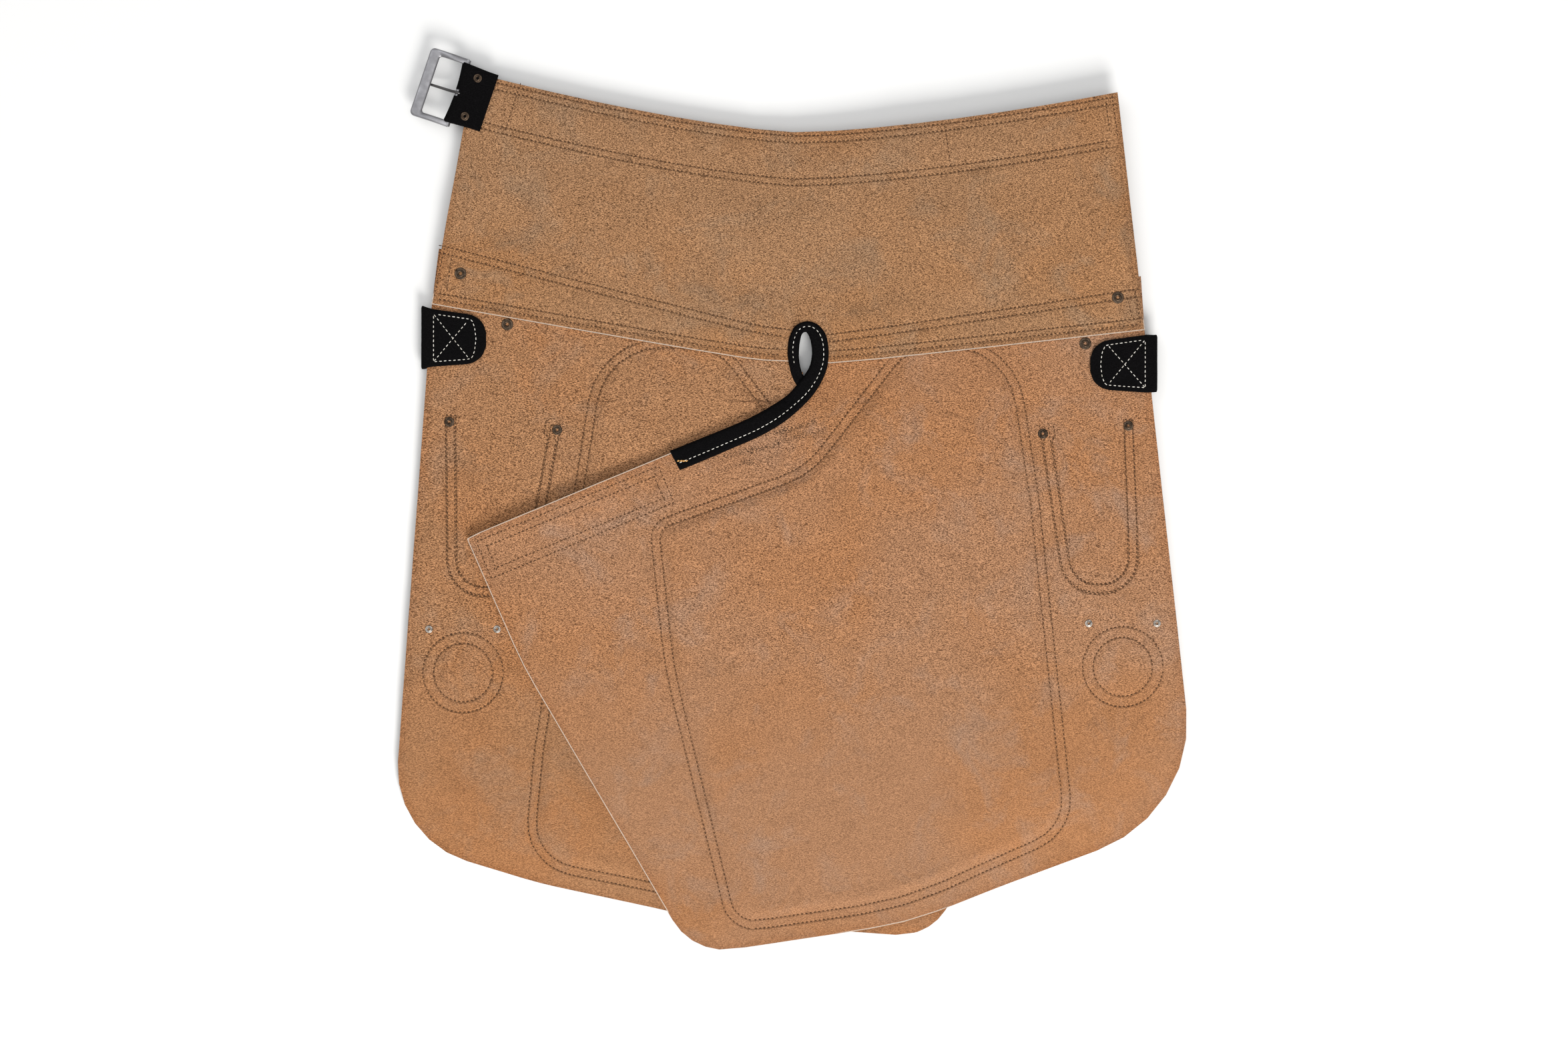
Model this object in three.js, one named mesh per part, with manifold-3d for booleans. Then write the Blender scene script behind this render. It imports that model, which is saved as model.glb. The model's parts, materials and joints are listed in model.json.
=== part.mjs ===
// A farrier's split-leg leather apron, laid out flat: flesh side up, right leg folded over the left.
// Millimetres. X runs across the wearer, Y towards the waist, +Z up from the surface that it lies on.
import * as THREE from 'three';
import { mergeVertices } from 'three/addons/utils/BufferGeometryUtils.js';
import Module from 'manifold-3d';

const wasm = await Module();
wasm.setup();

// Plies and the clearance between neighbours
const LEATHER = 2.0;
const PATCH = 2.0;
const TRIM = 1.5;
const BAND = 2.0;
const BELT = 3.0;
const GAP = 0.3;

// Yoke, drawn about its own centre line and laid down slightly turned
const YOKE_CENTRE = new THREE.Vector2(-0.5, 187);
const YOKE_TURN = THREE.MathUtils.degToRad(-1.8);
const YOKE_DEPTH = 173;
const YOKE_TOP_HALF = 241;
const YOKE_BOTTOM_HALF = 267;
const WAIST_SAG = 37;
const WAIST_CURVE = 1.45;
const LOWER_SLOPE = 0.145;
const LOWER_ROUND = 30;
const LOWER_POINT = 10;

// Legs: the fold line that they lift about, their reach down to the hem and out to the side
const FOLD_Y = 72;
const FOLD_GAP = 0.6;
const LEG_DROP = 410;
const HEM_HALF = 296;
const OVERLAP_MIDDLE = 20;
const OVERLAP_SIDE = 42;
const SIDE_INSET = 4;
const HIP_RADIUS = 60;
const HEM_Y = FOLD_Y - LEG_DROP;

// The slit between the legs and the suede that binds it
const SLIT = new THREE.Vector2(11, 110);
const SLIT_HALF_WIDTH = 4.9;
const SLIT_HALF_HEIGHT = 14.3;
const SLIT_TAPER = 0.22;
const BINDING_WIDTH = 16.5;
const LOOP_RIM = 9;
const CROTCH_RADIUS = 50;
const BINDING_END = 76;

// Knife pockets: a sewn margin all round and a raised room for the knife
const POCKET_MARGIN = 12;
const POCKET_ROOM = 4.6;
const POCKET_FROM_SIDE = 13;
const POCKET_MOUTH = FOLD_Y - 9;
const POCKET_MOUTH_SLANT = 6;
const POCKET_RIVET_DROP = 8.2;
const POCKET_CORNER = 3;
const POCKET_FOOT = 30;

// Magnet pads
const MAGNET_RADIUS = 20;
const MAGNET_THICKNESS = 4.0;
const PAD_WIDTH = 67;
const PAD_HEIGHT = 76;
const PAD_CORNER = 8;
const PAD_RIVET_INSET = new THREE.Vector2(8, 5.5);
const MAGNET_FROM_SIDE = 44;

// Waist band, belt and buckle
const BAND_WIDTH = 43;
const BAND_INSET = 2;
const BAND_START = -196;
const BELT_WIDTH = 40;
const BELT_LENGTH = 340;
const BELT_SEWN = 118;
const BELT_HOLE_RADIUS = 2.5;
const BELT_HOLE_PITCH = 25;
const BELT_HOLES = 6;
const CHAPE_WIDTH = 44.5;
const CHAPE_BACK = 25;
const CHAPE_FRONT = 42;
const BUCKLE_OPENING = 45.5;
const BUCKLE_REACH = 29.5;
const BUCKLE_BAR = 4.0;
const BUCKLE_ARM = 3.8;
const BUCKLE_LIP = 7.5;
const BUCKLE_THICKNESS = 4.4;
const BUCKLE_CORNER = 6;
const BUCKLE_BEVEL = 0.8;
const PRONG_WIDTH = 2.2;
const PRONG_EYE = 1.2;
const PRONG_DEPTH = 1.8;
const PRONG_SLOT = 4.0;
const CHAPE_TURN = THREE.MathUtils.degToRad(161.4);
const CHAPE_OFFSET = new THREE.Vector2(-11.9, -15);
const CHAPE_RIVET_BACK = 11;
const CHAPE_RIVET_APART = 30;

// Side loops for the leg straps
const LOOP_WIDTH = 45;
const LOOP_BACK = 41;
const LOOP_FRONT = 66;
const LOOP_STANDOFF = 4.5;
const LOOP_ROUND = 16;
const LOOP_TAPER = 7;
const LOOP_DROP = 2.4;

// Tabs at the inner corners of the legs
const TAB_LENGTH = 152;
const TAB_WIDTH = 34;
const TAB_INSET = 3.5;
const TAB_CORNER = 3;

// Rivets
const RIVET_STEM = 2.0;
const RIVET_HEAD = 1.2;
const RIVET_DIMPLE = 1.3;
const BIG_RIVET = 4.5;
const POCKET_RIVET = 3.8;
const CHAPE_RIVET = 3.3;
const PAD_RIVET = 2.9;
const YOKE_RIVET_IN = 21;
const YOKE_RIVET_UP = 26.5;

// Undersides of the stacked plies, worked up from the surface
const LEFT_Z = TRIM + POCKET_ROOM + GAP;
const LEFT_CORNER_Z = TRIM + GAP;
const RIGHT_Z = Math.max(
  LEFT_Z + LEATHER + PATCH + 2 * GAP,
  LEFT_CORNER_Z + LEATHER + TRIM + POCKET_ROOM + 2 * GAP,
);
const LEFT_UNDER_PATCH_Z = RIGHT_Z - PATCH - LEATHER - TRIM - 3 * GAP;
const YOKE_LEFT_Z = LEFT_Z + LEATHER + GAP;
const YOKE_RIGHT_Z = RIGHT_Z + LEATHER + GAP;
const FAR = 500;

// Each profile lists [x, underside] stations of a ply that lies over the ones below it
const YOKE_LIE = [[-FAR, YOKE_LEFT_Z], [-20, YOKE_LEFT_Z], [90, YOKE_RIGHT_Z], [FAR, YOKE_RIGHT_Z]];
const TOPS_LIE = YOKE_LIE.map(([x, z]) => [x, z - LEATHER - GAP]);
const LEFT_LIE = [
  [-FAR, LEFT_Z], [SLIT.x, LEFT_Z], [SLIT.x + 15, LEFT_UNDER_PATCH_Z],
  [175, LEFT_CORNER_Z], [FAR, LEFT_CORNER_Z],
];
const RIGHT_LIE = [[-FAR, RIGHT_Z], [FAR, RIGHT_Z]];

// Leg patterns as [x towards the leg's own side, y, corner radius]
const RIGHT_LEG = {
  side: 1, outer: [HEM_HALF + 8.6, HEM_Y + 101, 102], hem: [[85, HEM_Y + 19.5, 250]],
  toe: [-73, HEM_Y - 4, 45], shin: [-200, FOLD_Y - 198, 300], flap: [-242.5, FOLD_Y - 102, 2],
  crotch: [8, FOLD_Y + 2, CROTCH_RADIUS],
};
const LEFT_LEG = {
  side: -1, outer: [HEM_HALF + 3, HEM_Y + 82, 72],
  hem: [[HEM_HALF - 106, HEM_Y + 49, 300], [60, HEM_Y + 21, 300]],
  toe: [-103, HEM_Y + 8, 40], shin: [-234, FOLD_Y - 198, 300], flap: [-262, FOLD_Y - 104, 2],
  crotch: [-17, FOLD_Y, CROTCH_RADIUS],
};

// ---- outlines and solids ----

// A closed outline whose corners [x, y, radius] are rounded by arcs tangent to both sides.
function roundedOutline(corners) {
  const points = [];
  corners.forEach(([x, y, radius], i) => {
    const corner = new THREE.Vector2(x, y);
    if (!radius) {
      points.push(corner);
      return;
    }
    const before = corners.at(i - 1);
    const after = corners[(i + 1) % corners.length];
    const back = new THREE.Vector2(before[0], before[1]).sub(corner).normalize();
    const ahead = new THREE.Vector2(after[0], after[1]).sub(corner).normalize();
    const half = Math.acos(THREE.MathUtils.clamp(back.dot(ahead), -1, 1)) / 2;
    const run = radius / Math.tan(half);
    const middle = back.clone().add(ahead).normalize();
    const centre = middle.multiplyScalar(radius / Math.sin(half)).add(corner);
    const from = back.multiplyScalar(run).add(corner).sub(centre);
    const to = ahead.multiplyScalar(run).add(corner).sub(centre);
    const sweep = Math.atan2(from.cross(to), from.dot(to));
    const steps = Math.max(2, Math.ceil(Math.abs(sweep) / 0.26));
    for (let k = 0; k <= steps; k += 1) {
      points.push(from.clone().rotateAround(new THREE.Vector2(), (sweep * k) / steps).add(centre));
    }
  });
  return points;
}

// The same outline moved outwards by a distance, each point along its corner's bisector.
function grow(points, distance) {
  const outward = THREE.ShapeUtils.area(points) > 0 ? distance : -distance;
  return points.map((point, i) => {
    const before = point.clone().sub(points.at(i - 1)).normalize();
    const after = points[(i + 1) % points.length].clone().sub(point).normalize();
    const normal = new THREE.Vector2(before.y + after.y, -before.x - after.x).normalize();
    const cosine = Math.max(0.4, normal.x * before.y - normal.y * before.x);
    return normal.multiplyScalar(outward / cosine).add(point);
  });
}

function solidOf(geometry) {
  const bare = geometry.clone();
  bare.deleteAttribute('normal');
  bare.deleteAttribute('uv');
  const merged = mergeVertices(bare, 1e-4);
  return new wasm.Manifold(new wasm.Mesh({
    numProp: 3,
    vertProperties: new Float32Array(merged.attributes.position.array),
    triVerts: new Uint32Array(merged.index.array),
  }));
}

// An upright prism over an outline, from one height to another.
function prism(points, low, high) {
  const geometry = new THREE.ExtrudeGeometry(new THREE.Shape(points), {
    depth: high - low, bevelEnabled: false,
  });
  return solidOf(geometry.translate(0, 0, low));
}

function box(lowX, highX, lowY, highY, lowZ, highZ) {
  const geometry = new THREE.BoxGeometry(highX - lowX, highY - lowY, highZ - lowZ);
  return solidOf(geometry.translate((lowX + highX) / 2, (lowY + highY) / 2, (lowZ + highZ) / 2));
}

function cylinder(x, y, radius, low, high, sides = 12) {
  const geometry = new THREE.CylinderGeometry(radius, radius, high - low, sides);
  return solidOf(geometry.rotateX(Math.PI / 2).translate(x, y, (low + high) / 2));
}

// The layer between two heights above a profile, as deep in Y as any ply.
function layer(profile, low, high) {
  const under = profile.map(([x, z]) => new THREE.Vector2(x, z + low));
  const over = profile.map(([x, z]) => new THREE.Vector2(x, z + high)).reverse();
  const geometry = new THREE.ExtrudeGeometry(new THREE.Shape([...under, ...over]), {
    depth: 2 * FAR, bevelEnabled: false,
  });
  return solidOf(geometry.rotateX(Math.PI / 2).translate(0, FAR, 0));
}

// A ply: an outline laid over a profile, from one height above it to another.
function ply(points, profile, low, high) {
  return prism(points, -FAR, FAR).intersect(layer(profile, low, high));
}

function combine(solid, others, operation) {
  return others.reduce((result, other) => result[operation](other), solid);
}

const aboveFold = box(-FAR, FAR, FOLD_Y + FOLD_GAP / 2, FAR, -FAR, FAR);
const belowFold = box(-FAR, FAR, -FAR, FOLD_Y - FOLD_GAP / 2, -FAR, FAR);

// ---- the apron's group and its materials ----

const apron = new THREE.Group();

const FINISHES = {
  suede: { color: 0xb8895f, roughness: 0.95, metalness: 0 },
  grain: { color: 0xa9764b, roughness: 0.8, metalness: 0 },
  black: { color: 0x171516, roughness: 0.9, metalness: 0 },
  belt: { color: 0x1d1a19, roughness: 0.6, metalness: 0 },
  steel: { color: 0x8e8e90, roughness: 0.4, metalness: 1 },
  rivet: { color: 0x6b5f50, roughness: 0.5, metalness: 1 },
  magnet: { color: 0x9a9da0, roughness: 0.35, metalness: 1 },
};

function add(name, solid, finish) {
  const made = solid.getMesh();
  const geometry = new THREE.BufferGeometry();
  geometry.setAttribute('position', new THREE.BufferAttribute(made.vertProperties, 3));
  geometry.setIndex(new THREE.BufferAttribute(made.triVerts, 1));
  geometry.computeVertexNormals();
  const mesh = new THREE.Mesh(geometry, new THREE.MeshStandardMaterial(FINISHES[finish]));
  mesh.name = name;
  apron.add(mesh);
}

// ---- rivets: where they sit, and the holes that they need ----

const rivets = [];

// A rivet holds from the underside of its lowest ply to the top of its highest.
function placeRivet(name, x, y, radius, low, high) {
  rivets.push({ name, x, y, radius, low, high });
}

function rivetHoles() {
  return rivets.map(({ x, y, low, high }) => (
    cylinder(x, y, RIVET_STEM + GAP, low - RIVET_HEAD - GAP, high + RIVET_HEAD + GAP)
  ));
}

// Two domed heads on a stem, the upper one with the dimple of its hollow shank.
function rivetSolid({ x, y, radius, low, high }) {
  const bottom = low - GAP - RIVET_HEAD;
  const top = high + GAP + RIVET_HEAD;
  const profile = [
    [0, bottom], [radius * 0.7, bottom], [radius, bottom + RIVET_HEAD * 0.6], [radius, low - GAP],
    [RIVET_STEM, low - GAP], [RIVET_STEM, high + GAP], [radius, high + GAP],
    [radius, top - RIVET_HEAD * 0.6], [radius * 0.7, top], [RIVET_DIMPLE, top],
    [RIVET_DIMPLE * 0.8, top - RIVET_HEAD], [0, top - RIVET_HEAD],
  ].map(([r, z]) => new THREE.Vector2(r, z));
  return solidOf(new THREE.LatheGeometry(profile, 16).rotateX(Math.PI / 2).translate(x, y, 0));
}

// ---- yoke ----

const waistEdge = (u) => YOKE_DEPTH / 2 + WAIST_SAG * (Math.abs(u) / YOKE_TOP_HALF) ** WAIST_CURVE;

function lowerEdge(u) {
  const away = Math.hypot(u - LOWER_POINT, LOWER_ROUND) - LOWER_ROUND;
  return LOWER_SLOPE * away - YOKE_DEPTH / 2;
}

// From the yoke's own lines to where it lies.
function onYoke(u, v) {
  return new THREE.Vector2(u, v).rotateAround(new THREE.Vector2(), YOKE_TURN).add(YOKE_CENTRE);
}

// The yoke's lower corner on a side, where the leg's side edge starts.
function hipOf({ side }) {
  return onYoke(side * YOKE_BOTTOM_HALF, lowerEdge(side * YOKE_BOTTOM_HALF));
}

function alongYoke(from, to, height, steps = 16) {
  return Array.from({ length: steps + 1 }, (_, i) => {
    const u = THREE.MathUtils.lerp(from, to, i / steps);
    return onYoke(u, height(u));
  });
}

const yokeOutline = [
  ...alongYoke(-YOKE_TOP_HALF, YOKE_TOP_HALF, waistEdge),
  ...alongYoke(YOKE_BOTTOM_HALF, -YOKE_BOTTOM_HALF, lowerEdge),
];

// The slit's opening, rounded at the waist end and drawn to a point between the legs.
function slitOutline(grown) {
  return Array.from({ length: 24 }, (_, i) => {
    const angle = (i / 24) * 2 * Math.PI;
    const taper = 1 - SLIT_TAPER * (1 - Math.sin(angle)) / 2;
    return new THREE.Vector2(
      SLIT.x + (SLIT_HALF_WIDTH + grown) * Math.cos(angle) * taper,
      SLIT.y + (SLIT_HALF_HEIGHT + grown) * Math.sin(angle),
    );
  });
}

// The cut through yoke and legs: the opening and the split that runs down from it.
function slitCut(grown) {
  const half = TRIM + GAP - grown;
  const split = [[SLIT.x - half, SLIT.y], [SLIT.x + half, SLIT.y], [SLIT.x + half, 0], [SLIT.x - half, 0]];
  const opening = prism(slitOutline(TRIM + GAP - grown), -FAR, FAR);
  return opening.add(prism(split.map(([x, y]) => new THREE.Vector2(x, y)), -FAR, FAR));
}

// ---- chape and buckle, drawn along their own axes: u towards the buckle's lip, v along its bar ----

const barZ = YOKE_LEFT_Z + LEATHER / 2;
const barCentre = onYoke(-YOKE_TOP_HALF, waistEdge(-YOKE_TOP_HALF)).add(CHAPE_OFFSET);

function onChape(solid) {
  const turned = new THREE.Matrix4().makeRotationZ(CHAPE_TURN);
  const placed = new THREE.Matrix4().makeTranslation(barCentre.x, barCentre.y, barZ).multiply(turned);
  return solid.transform(placed.elements);
}

// A side view in u and height, carried along the bar's direction.
function alongBar(points, width, holes = []) {
  const shape = new THREE.Shape(points);
  holes.forEach((hole) => shape.holes.push(new THREE.Path(hole)));
  const geometry = new THREE.ExtrudeGeometry(shape, { depth: width, bevelEnabled: false });
  return solidOf(geometry.rotateX(Math.PI / 2).translate(0, width / 2, 0));
}

function arc(radius, from, to, steps) {
  return Array.from({ length: steps + 1 }, (_, i) => {
    const angle = THREE.MathUtils.degToRad(THREE.MathUtils.lerp(from, to, i / steps));
    return new THREE.Vector2(radius * Math.cos(angle), radius * Math.sin(angle));
  });
}

// The strap folded round the bar: its back flange over the yoke, its longer front flange under it.
function chapeSolid() {
  const inner = BUCKLE_BAR / 2 + GAP;
  const flat = LEATHER / 2 + GAP;
  const neck = -inner - BUCKLE_BAR / 2;
  const profile = [
    new THREE.Vector2(-CHAPE_BACK, flat + TRIM),
    new THREE.Vector2(neck, flat + TRIM),
    ...arc(inner + TRIM, 90, -90, 10),
    new THREE.Vector2(neck, -flat - TRIM),
    new THREE.Vector2(-CHAPE_FRONT, -flat - TRIM),
    new THREE.Vector2(-CHAPE_FRONT, -flat),
    new THREE.Vector2(neck, -flat),
    ...arc(inner, -90, 90, 8),
    new THREE.Vector2(neck, flat),
    new THREE.Vector2(-CHAPE_BACK, flat),
  ];
  const slot = box(neck, FAR, -PRONG_SLOT / 2, PRONG_SLOT / 2, -FAR, FAR);
  return alongBar(profile, CHAPE_WIDTH).subtract(slot);
}

// The flat frame with its rounded corners, and the bar that the chape is folded round.
function buckleSolid() {
  const half = BUCKLE_OPENING / 2;
  const outerHalf = half + BUCKLE_ARM;
  const outer = roundedOutline([
    [-BUCKLE_BAR / 2, -outerHalf, BUCKLE_BAR / 2], [BUCKLE_REACH, -outerHalf, BUCKLE_CORNER],
    [BUCKLE_REACH, outerHalf, BUCKLE_CORNER], [-BUCKLE_BAR / 2, outerHalf, BUCKLE_BAR / 2],
  ]);
  const lip = BUCKLE_REACH - BUCKLE_LIP;
  const window = roundedOutline([
    [-FAR, -half, 0], [lip, -half, BUCKLE_CORNER / 2], [lip, half, BUCKLE_CORNER / 2], [-FAR, half, 0],
  ]);
  const plate = new THREE.ExtrudeGeometry(new THREE.Shape(outer), {
    depth: BUCKLE_THICKNESS - 2 * BUCKLE_BEVEL, bevelThickness: BUCKLE_BEVEL, bevelSize: BUCKLE_BEVEL,
    bevelOffset: -BUCKLE_BEVEL, bevelSegments: 2,
  });
  const frame = solidOf(plate.translate(0, 0, BUCKLE_BEVEL - BUCKLE_THICKNESS / 2));
  const bar = new THREE.CylinderGeometry(BUCKLE_BAR / 2, BUCKLE_BAR / 2, 2 * outerHalf - 2, 16);
  return frame.subtract(prism(window, -FAR, FAR)).add(solidOf(bar));
}

// The pin's eye round the bar, and its shank that passes under the frame's lip.
function prongSolid() {
  const inner = BUCKLE_BAR / 2 + GAP;
  const outer = inner + PRONG_EYE;
  const under = -BUCKLE_THICKNESS / 2 - GAP;
  const lip = BUCKLE_REACH - BUCKLE_LIP;
  const profile = [
    ...arc(outer, 35, 295, 14),
    new THREE.Vector2(lip - 4, under - PRONG_DEPTH),
    new THREE.Vector2(BUCKLE_REACH - 2, under - PRONG_DEPTH * 0.7),
    new THREE.Vector2(BUCKLE_REACH - 2, under),
    new THREE.Vector2(lip - 2, under),
    new THREE.Vector2(outer + 3, 0),
  ];
  return alongBar(profile, PRONG_WIDTH, [arc(inner, 0, 345, 12)]);
}

// ---- waist: band and belt ----

const bandEnd = YOKE_TOP_HALF - SIDE_INSET;
const bandOutline = [
  ...alongYoke(BAND_START, bandEnd, (u) => waistEdge(u) - BAND_INSET),
  ...alongYoke(bandEnd, BAND_START, (u) => waistEdge(u) - BAND_INSET - BAND_WIDTH),
];

// The belt follows the band's last stretch, and its free run is folded back under it.
const beltTop = YOKE_RIGHT_Z - 2 * GAP - BAND;
const strapTop = YOKE_LEFT_Z - 2 * GAP - BAND;
const beltFold = onYoke(bandEnd - BAND_INSET, waistEdge(bandEnd) - BAND_INSET - BAND_WIDTH / 2);
const beltAngle = YOKE_TURN + Math.PI
  + Math.atan2(waistEdge(bandEnd) - waistEdge(bandEnd - BELT_SEWN), BELT_SEWN);

// From u along the belt, counted back from its fold, and v across it, to where it lies.
function onBelt([u, v, radius]) {
  const point = new THREE.Vector2(u, v).rotateAround(new THREE.Vector2(), beltAngle).add(beltFold);
  return [point.x, point.y, radius];
}

function beltOutline(length, tipRadius) {
  const half = BELT_WIDTH / 2;
  return roundedOutline([
    [GAP, -half, 0], [length, -half, tipRadius], [length, half, tipRadius], [GAP, half, 0],
  ].map(onBelt));
}

function beltSolid() {
  const low = strapTop - BELT;
  const strap = prism(beltOutline(BELT_LENGTH, BELT_WIDTH * 0.42), low, strapTop);
  const holes = Array.from({ length: BELT_HOLES }, (_, i) => {
    const [x, y] = onBelt([BELT_LENGTH - 2 * BELT_HOLE_PITCH - i * BELT_HOLE_PITCH, 0]);
    return cylinder(x, y, BELT_HOLE_RADIUS, low - 1, strapTop + 1);
  });
  return combine(strap, holes, 'subtract');
}

// ---- legs ----

// Where a leg's side edge runs at a height, between the yoke's corner and the hem's.
function sideAt(leg, y) {
  const hip = hipOf(leg);
  return THREE.MathUtils.mapLinear(y, hip.y, leg.outer[1], hip.x, leg.side * leg.outer[0]);
}

// The whole leg, from its edge under the yoke down to the hem.
function legOutline(leg) {
  const { side, outer, hem, toe, shin, flap, crotch } = leg;
  const overlap = (u) => THREE.MathUtils.mapLinear(
    Math.abs(u - LOWER_POINT), 0, YOKE_BOTTOM_HALF, OVERLAP_MIDDLE, OVERLAP_SIDE,
  );
  const reach = YOKE_BOTTOM_HALF - SIDE_INSET;
  const top = alongYoke(LOWER_POINT + side * 2, side * reach, (u) => lowerEdge(u) + overlap(u), 8);
  const hip = hipOf(leg);
  const placed = ([x, y, radius]) => [side * x, y, radius];
  return roundedOutline([
    ...top.map(({ x, y }) => [x, y, 0]),
    [hip.x, hip.y, HIP_RADIUS],
    ...[outer, ...hem, toe, shin, flap, crotch].map(placed),
    [side * crotch[0], top[0].y, 0],
  ]);
}

// The leg's inner edge, from the flap's corner round the crotch and up towards the slit.
function innerEdge({ side, flap, crotch }) {
  return roundedOutline([
    [side * flap[0], flap[1], 0], [side * crotch[0], crotch[1], crotch[2]],
    [side * crotch[0], SLIT.y + SLIT_HALF_HEIGHT + LOOP_RIM, 0],
  ]);
}

// The suede strip folded over that edge, from a set distance before the crotch up to the slit.
function bindingStrip(leg) {
  const edge = innerEdge(leg);
  edge[0] = edge[1].clone().lerp(edge[0], BINDING_END / edge[0].distanceTo(edge[1]));
  const outwards = edge.map((point, i) => {
    const before = edge[Math.max(0, i - 1)];
    const after = edge[Math.min(edge.length - 1, i + 1)];
    const along = after.clone().sub(before).normalize();
    return new THREE.Vector2(-along.y, along.x).multiplyScalar(leg.side);
  });
  const shifted = (distance) => edge.map((point, i) => (
    outwards[i].clone().multiplyScalar(distance).add(point)
  ));
  const outside = TRIM + GAP;
  return [...shifted(outside), ...shifted(outside - BINDING_WIDTH).reverse()];
}

function bindingSolid(leg, profile) {
  const strip = ply(bindingStrip(leg), profile, -GAP - TRIM, LEATHER + GAP + TRIM);
  const leather = ply(grow(legOutline(leg), GAP), profile, -GAP, LEATHER + GAP);
  return strip.subtract(leather).intersect(belowFold);
}

// A tab sewn under the inner corner, square to the edge between flap and crotch.
function tabOutline({ side, flap, crotch }) {
  const corner = new THREE.Vector2(side * flap[0], flap[1]);
  const along = new THREE.Vector2(side * crotch[0], crotch[1]).sub(corner).normalize();
  const across = new THREE.Vector2(along.y, -along.x).multiplyScalar(side);
  const at = (u, v) => {
    const point = corner.clone().addScaledVector(along, u).addScaledVector(across, v);
    return [point.x, point.y, TAB_CORNER];
  };
  const [near, far, deep] = [TAB_INSET, TAB_INSET + TAB_LENGTH, TAB_INSET + TAB_WIDTH];
  return roundedOutline([at(near, near), at(far, near), at(far, deep), at(near, deep)]);
}

// ---- knee patches ----

// A patch's corner, set in from the leg's side edge.
const inFromSide = (leg, y, margin, radius) => [leg.side * sideAt(leg, y) - margin, y, radius];

const RIGHT_PATCH = {
  side: 1,
  corners: [
    [-109, FOLD_Y - 89, 20], [9, FOLD_Y - 47, 60], [84, FOLD_Y + 50, 45],
    [YOKE_BOTTOM_HALF - 97, FOLD_Y + 50, 58], inFromSide(RIGHT_LEG, FOLD_Y - 72, 90, 200),
    inFromSide(RIGHT_LEG, HEM_Y + 85, 91, 42), [85, HEM_Y + 28, 250], [-48, HEM_Y + 9, 28],
    [-97, FOLD_Y - 200, 300],
  ],
};
const LEFT_PATCH = {
  side: -1,
  corners: [
    [-124, FOLD_Y - 91, 20], [-24, FOLD_Y - 48, 60], [51, FOLD_Y + 50, 45],
    [YOKE_BOTTOM_HALF - 120, FOLD_Y + 50, 58], inFromSide(LEFT_LEG, HEM_Y + 150, 99, 200),
    inFromSide(LEFT_LEG, HEM_Y + 60, 97, 42), [60, HEM_Y + 31, 250], [-80, HEM_Y + 18, 28],
    [-112, FOLD_Y - 200, 300],
  ],
};

function patchOutline({ side, corners }) {
  return roundedOutline(corners.map(([x, y, radius]) => [side * x, y, radius]));
}

// ---- pockets and magnet pads: a flat sewn margin round a raised room ----

// A pocket's outline drawn in by a distance, with its corners' radii following.
function pocketOutline(corners, inset) {
  const sharp = grow(corners.map(([x, y]) => new THREE.Vector2(x, y)), -inset);
  return roundedOutline(sharp.map(({ x, y }, i) => [x, y, Math.max(1.5, corners[i][2] - inset)]));
}

// A knife pocket, whose room is open towards the waist and towards the leg that it is sewn to.
function pocketSolid(corners, underside) {
  const top = underside - GAP;
  const low = top - TRIM - POCKET_ROOM;
  const outline = pocketOutline(corners, 0);
  const wall = prism(pocketOutline(corners, POCKET_MARGIN), low, top);
  const room = prism(pocketOutline(corners, POCKET_MARGIN + TRIM), low + TRIM, FAR);
  const toMouth = POCKET_MARGIN + TRIM + POCKET_MOUTH_SLANT;
  const raised = wall.add(wall.translate(0, toMouth, 0)).intersect(prism(outline, low, top));
  const body = prism(outline, top - TRIM, top).add(raised);
  return body.subtract(room).subtract(room.translate(0, toMouth, 0));
}

// A magnet pad: its sewn margin and the round housing that holds the magnet against the leg.
function padSolid({ x, y }, underside) {
  const top = underside - GAP;
  const low = top - MAGNET_THICKNESS - 2 * GAP - TRIM;
  const outline = roundedOutline([[-1, -1], [1, -1], [1, 1], [-1, 1]].map(([right, up]) => (
    [x + right * PAD_WIDTH / 2, y + up * PAD_HEIGHT / 2, PAD_CORNER]
  )));
  const housing = cylinder(x, y, MAGNET_RADIUS + GAP + TRIM, low, top, 32);
  const room = cylinder(x, y, MAGNET_RADIUS + GAP, low + TRIM, FAR, 32);
  return prism(outline, top - TRIM, top).add(housing).subtract(room);
}

function magnetSolid({ x, y }, underside) {
  const top = underside - 2 * GAP;
  return cylinder(x, y, MAGNET_RADIUS, top - MAGNET_THICKNESS, top, 32);
}

// ---- side loops: a strap end folded round the leg's edge ----

function loopSolid(leg, underside) {
  const { side } = leg;
  const hip = hipOf(leg);
  const top = hip.y - LOOP_DROP;
  const fold = sideAt(leg, top - LOOP_WIDTH) + side * LOOP_STANDOFF;
  const flange = (reach) => roundedOutline([
    [fold, top, 0], [hip.x - side * reach, top - LOOP_TAPER, LOOP_ROUND],
    [hip.x - side * reach, top - LOOP_WIDTH + LOOP_TAPER / 2, LOOP_ROUND], [fold, top - LOOP_WIDTH, 0],
  ]);
  const over = underside + LEATHER + GAP;
  const back = prism(flange(LOOP_BACK), over, over + TRIM);
  const front = prism(flange(LOOP_FRONT), underside - GAP - TRIM, underside - GAP);
  const wall = box(
    Math.min(fold, fold - side * TRIM), Math.max(fold, fold - side * TRIM), top - LOOP_WIDTH, top,
    underside - GAP - TRIM, over + TRIM,
  );
  return back.add(front).add(wall);
}

// ---- placing ----

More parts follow.
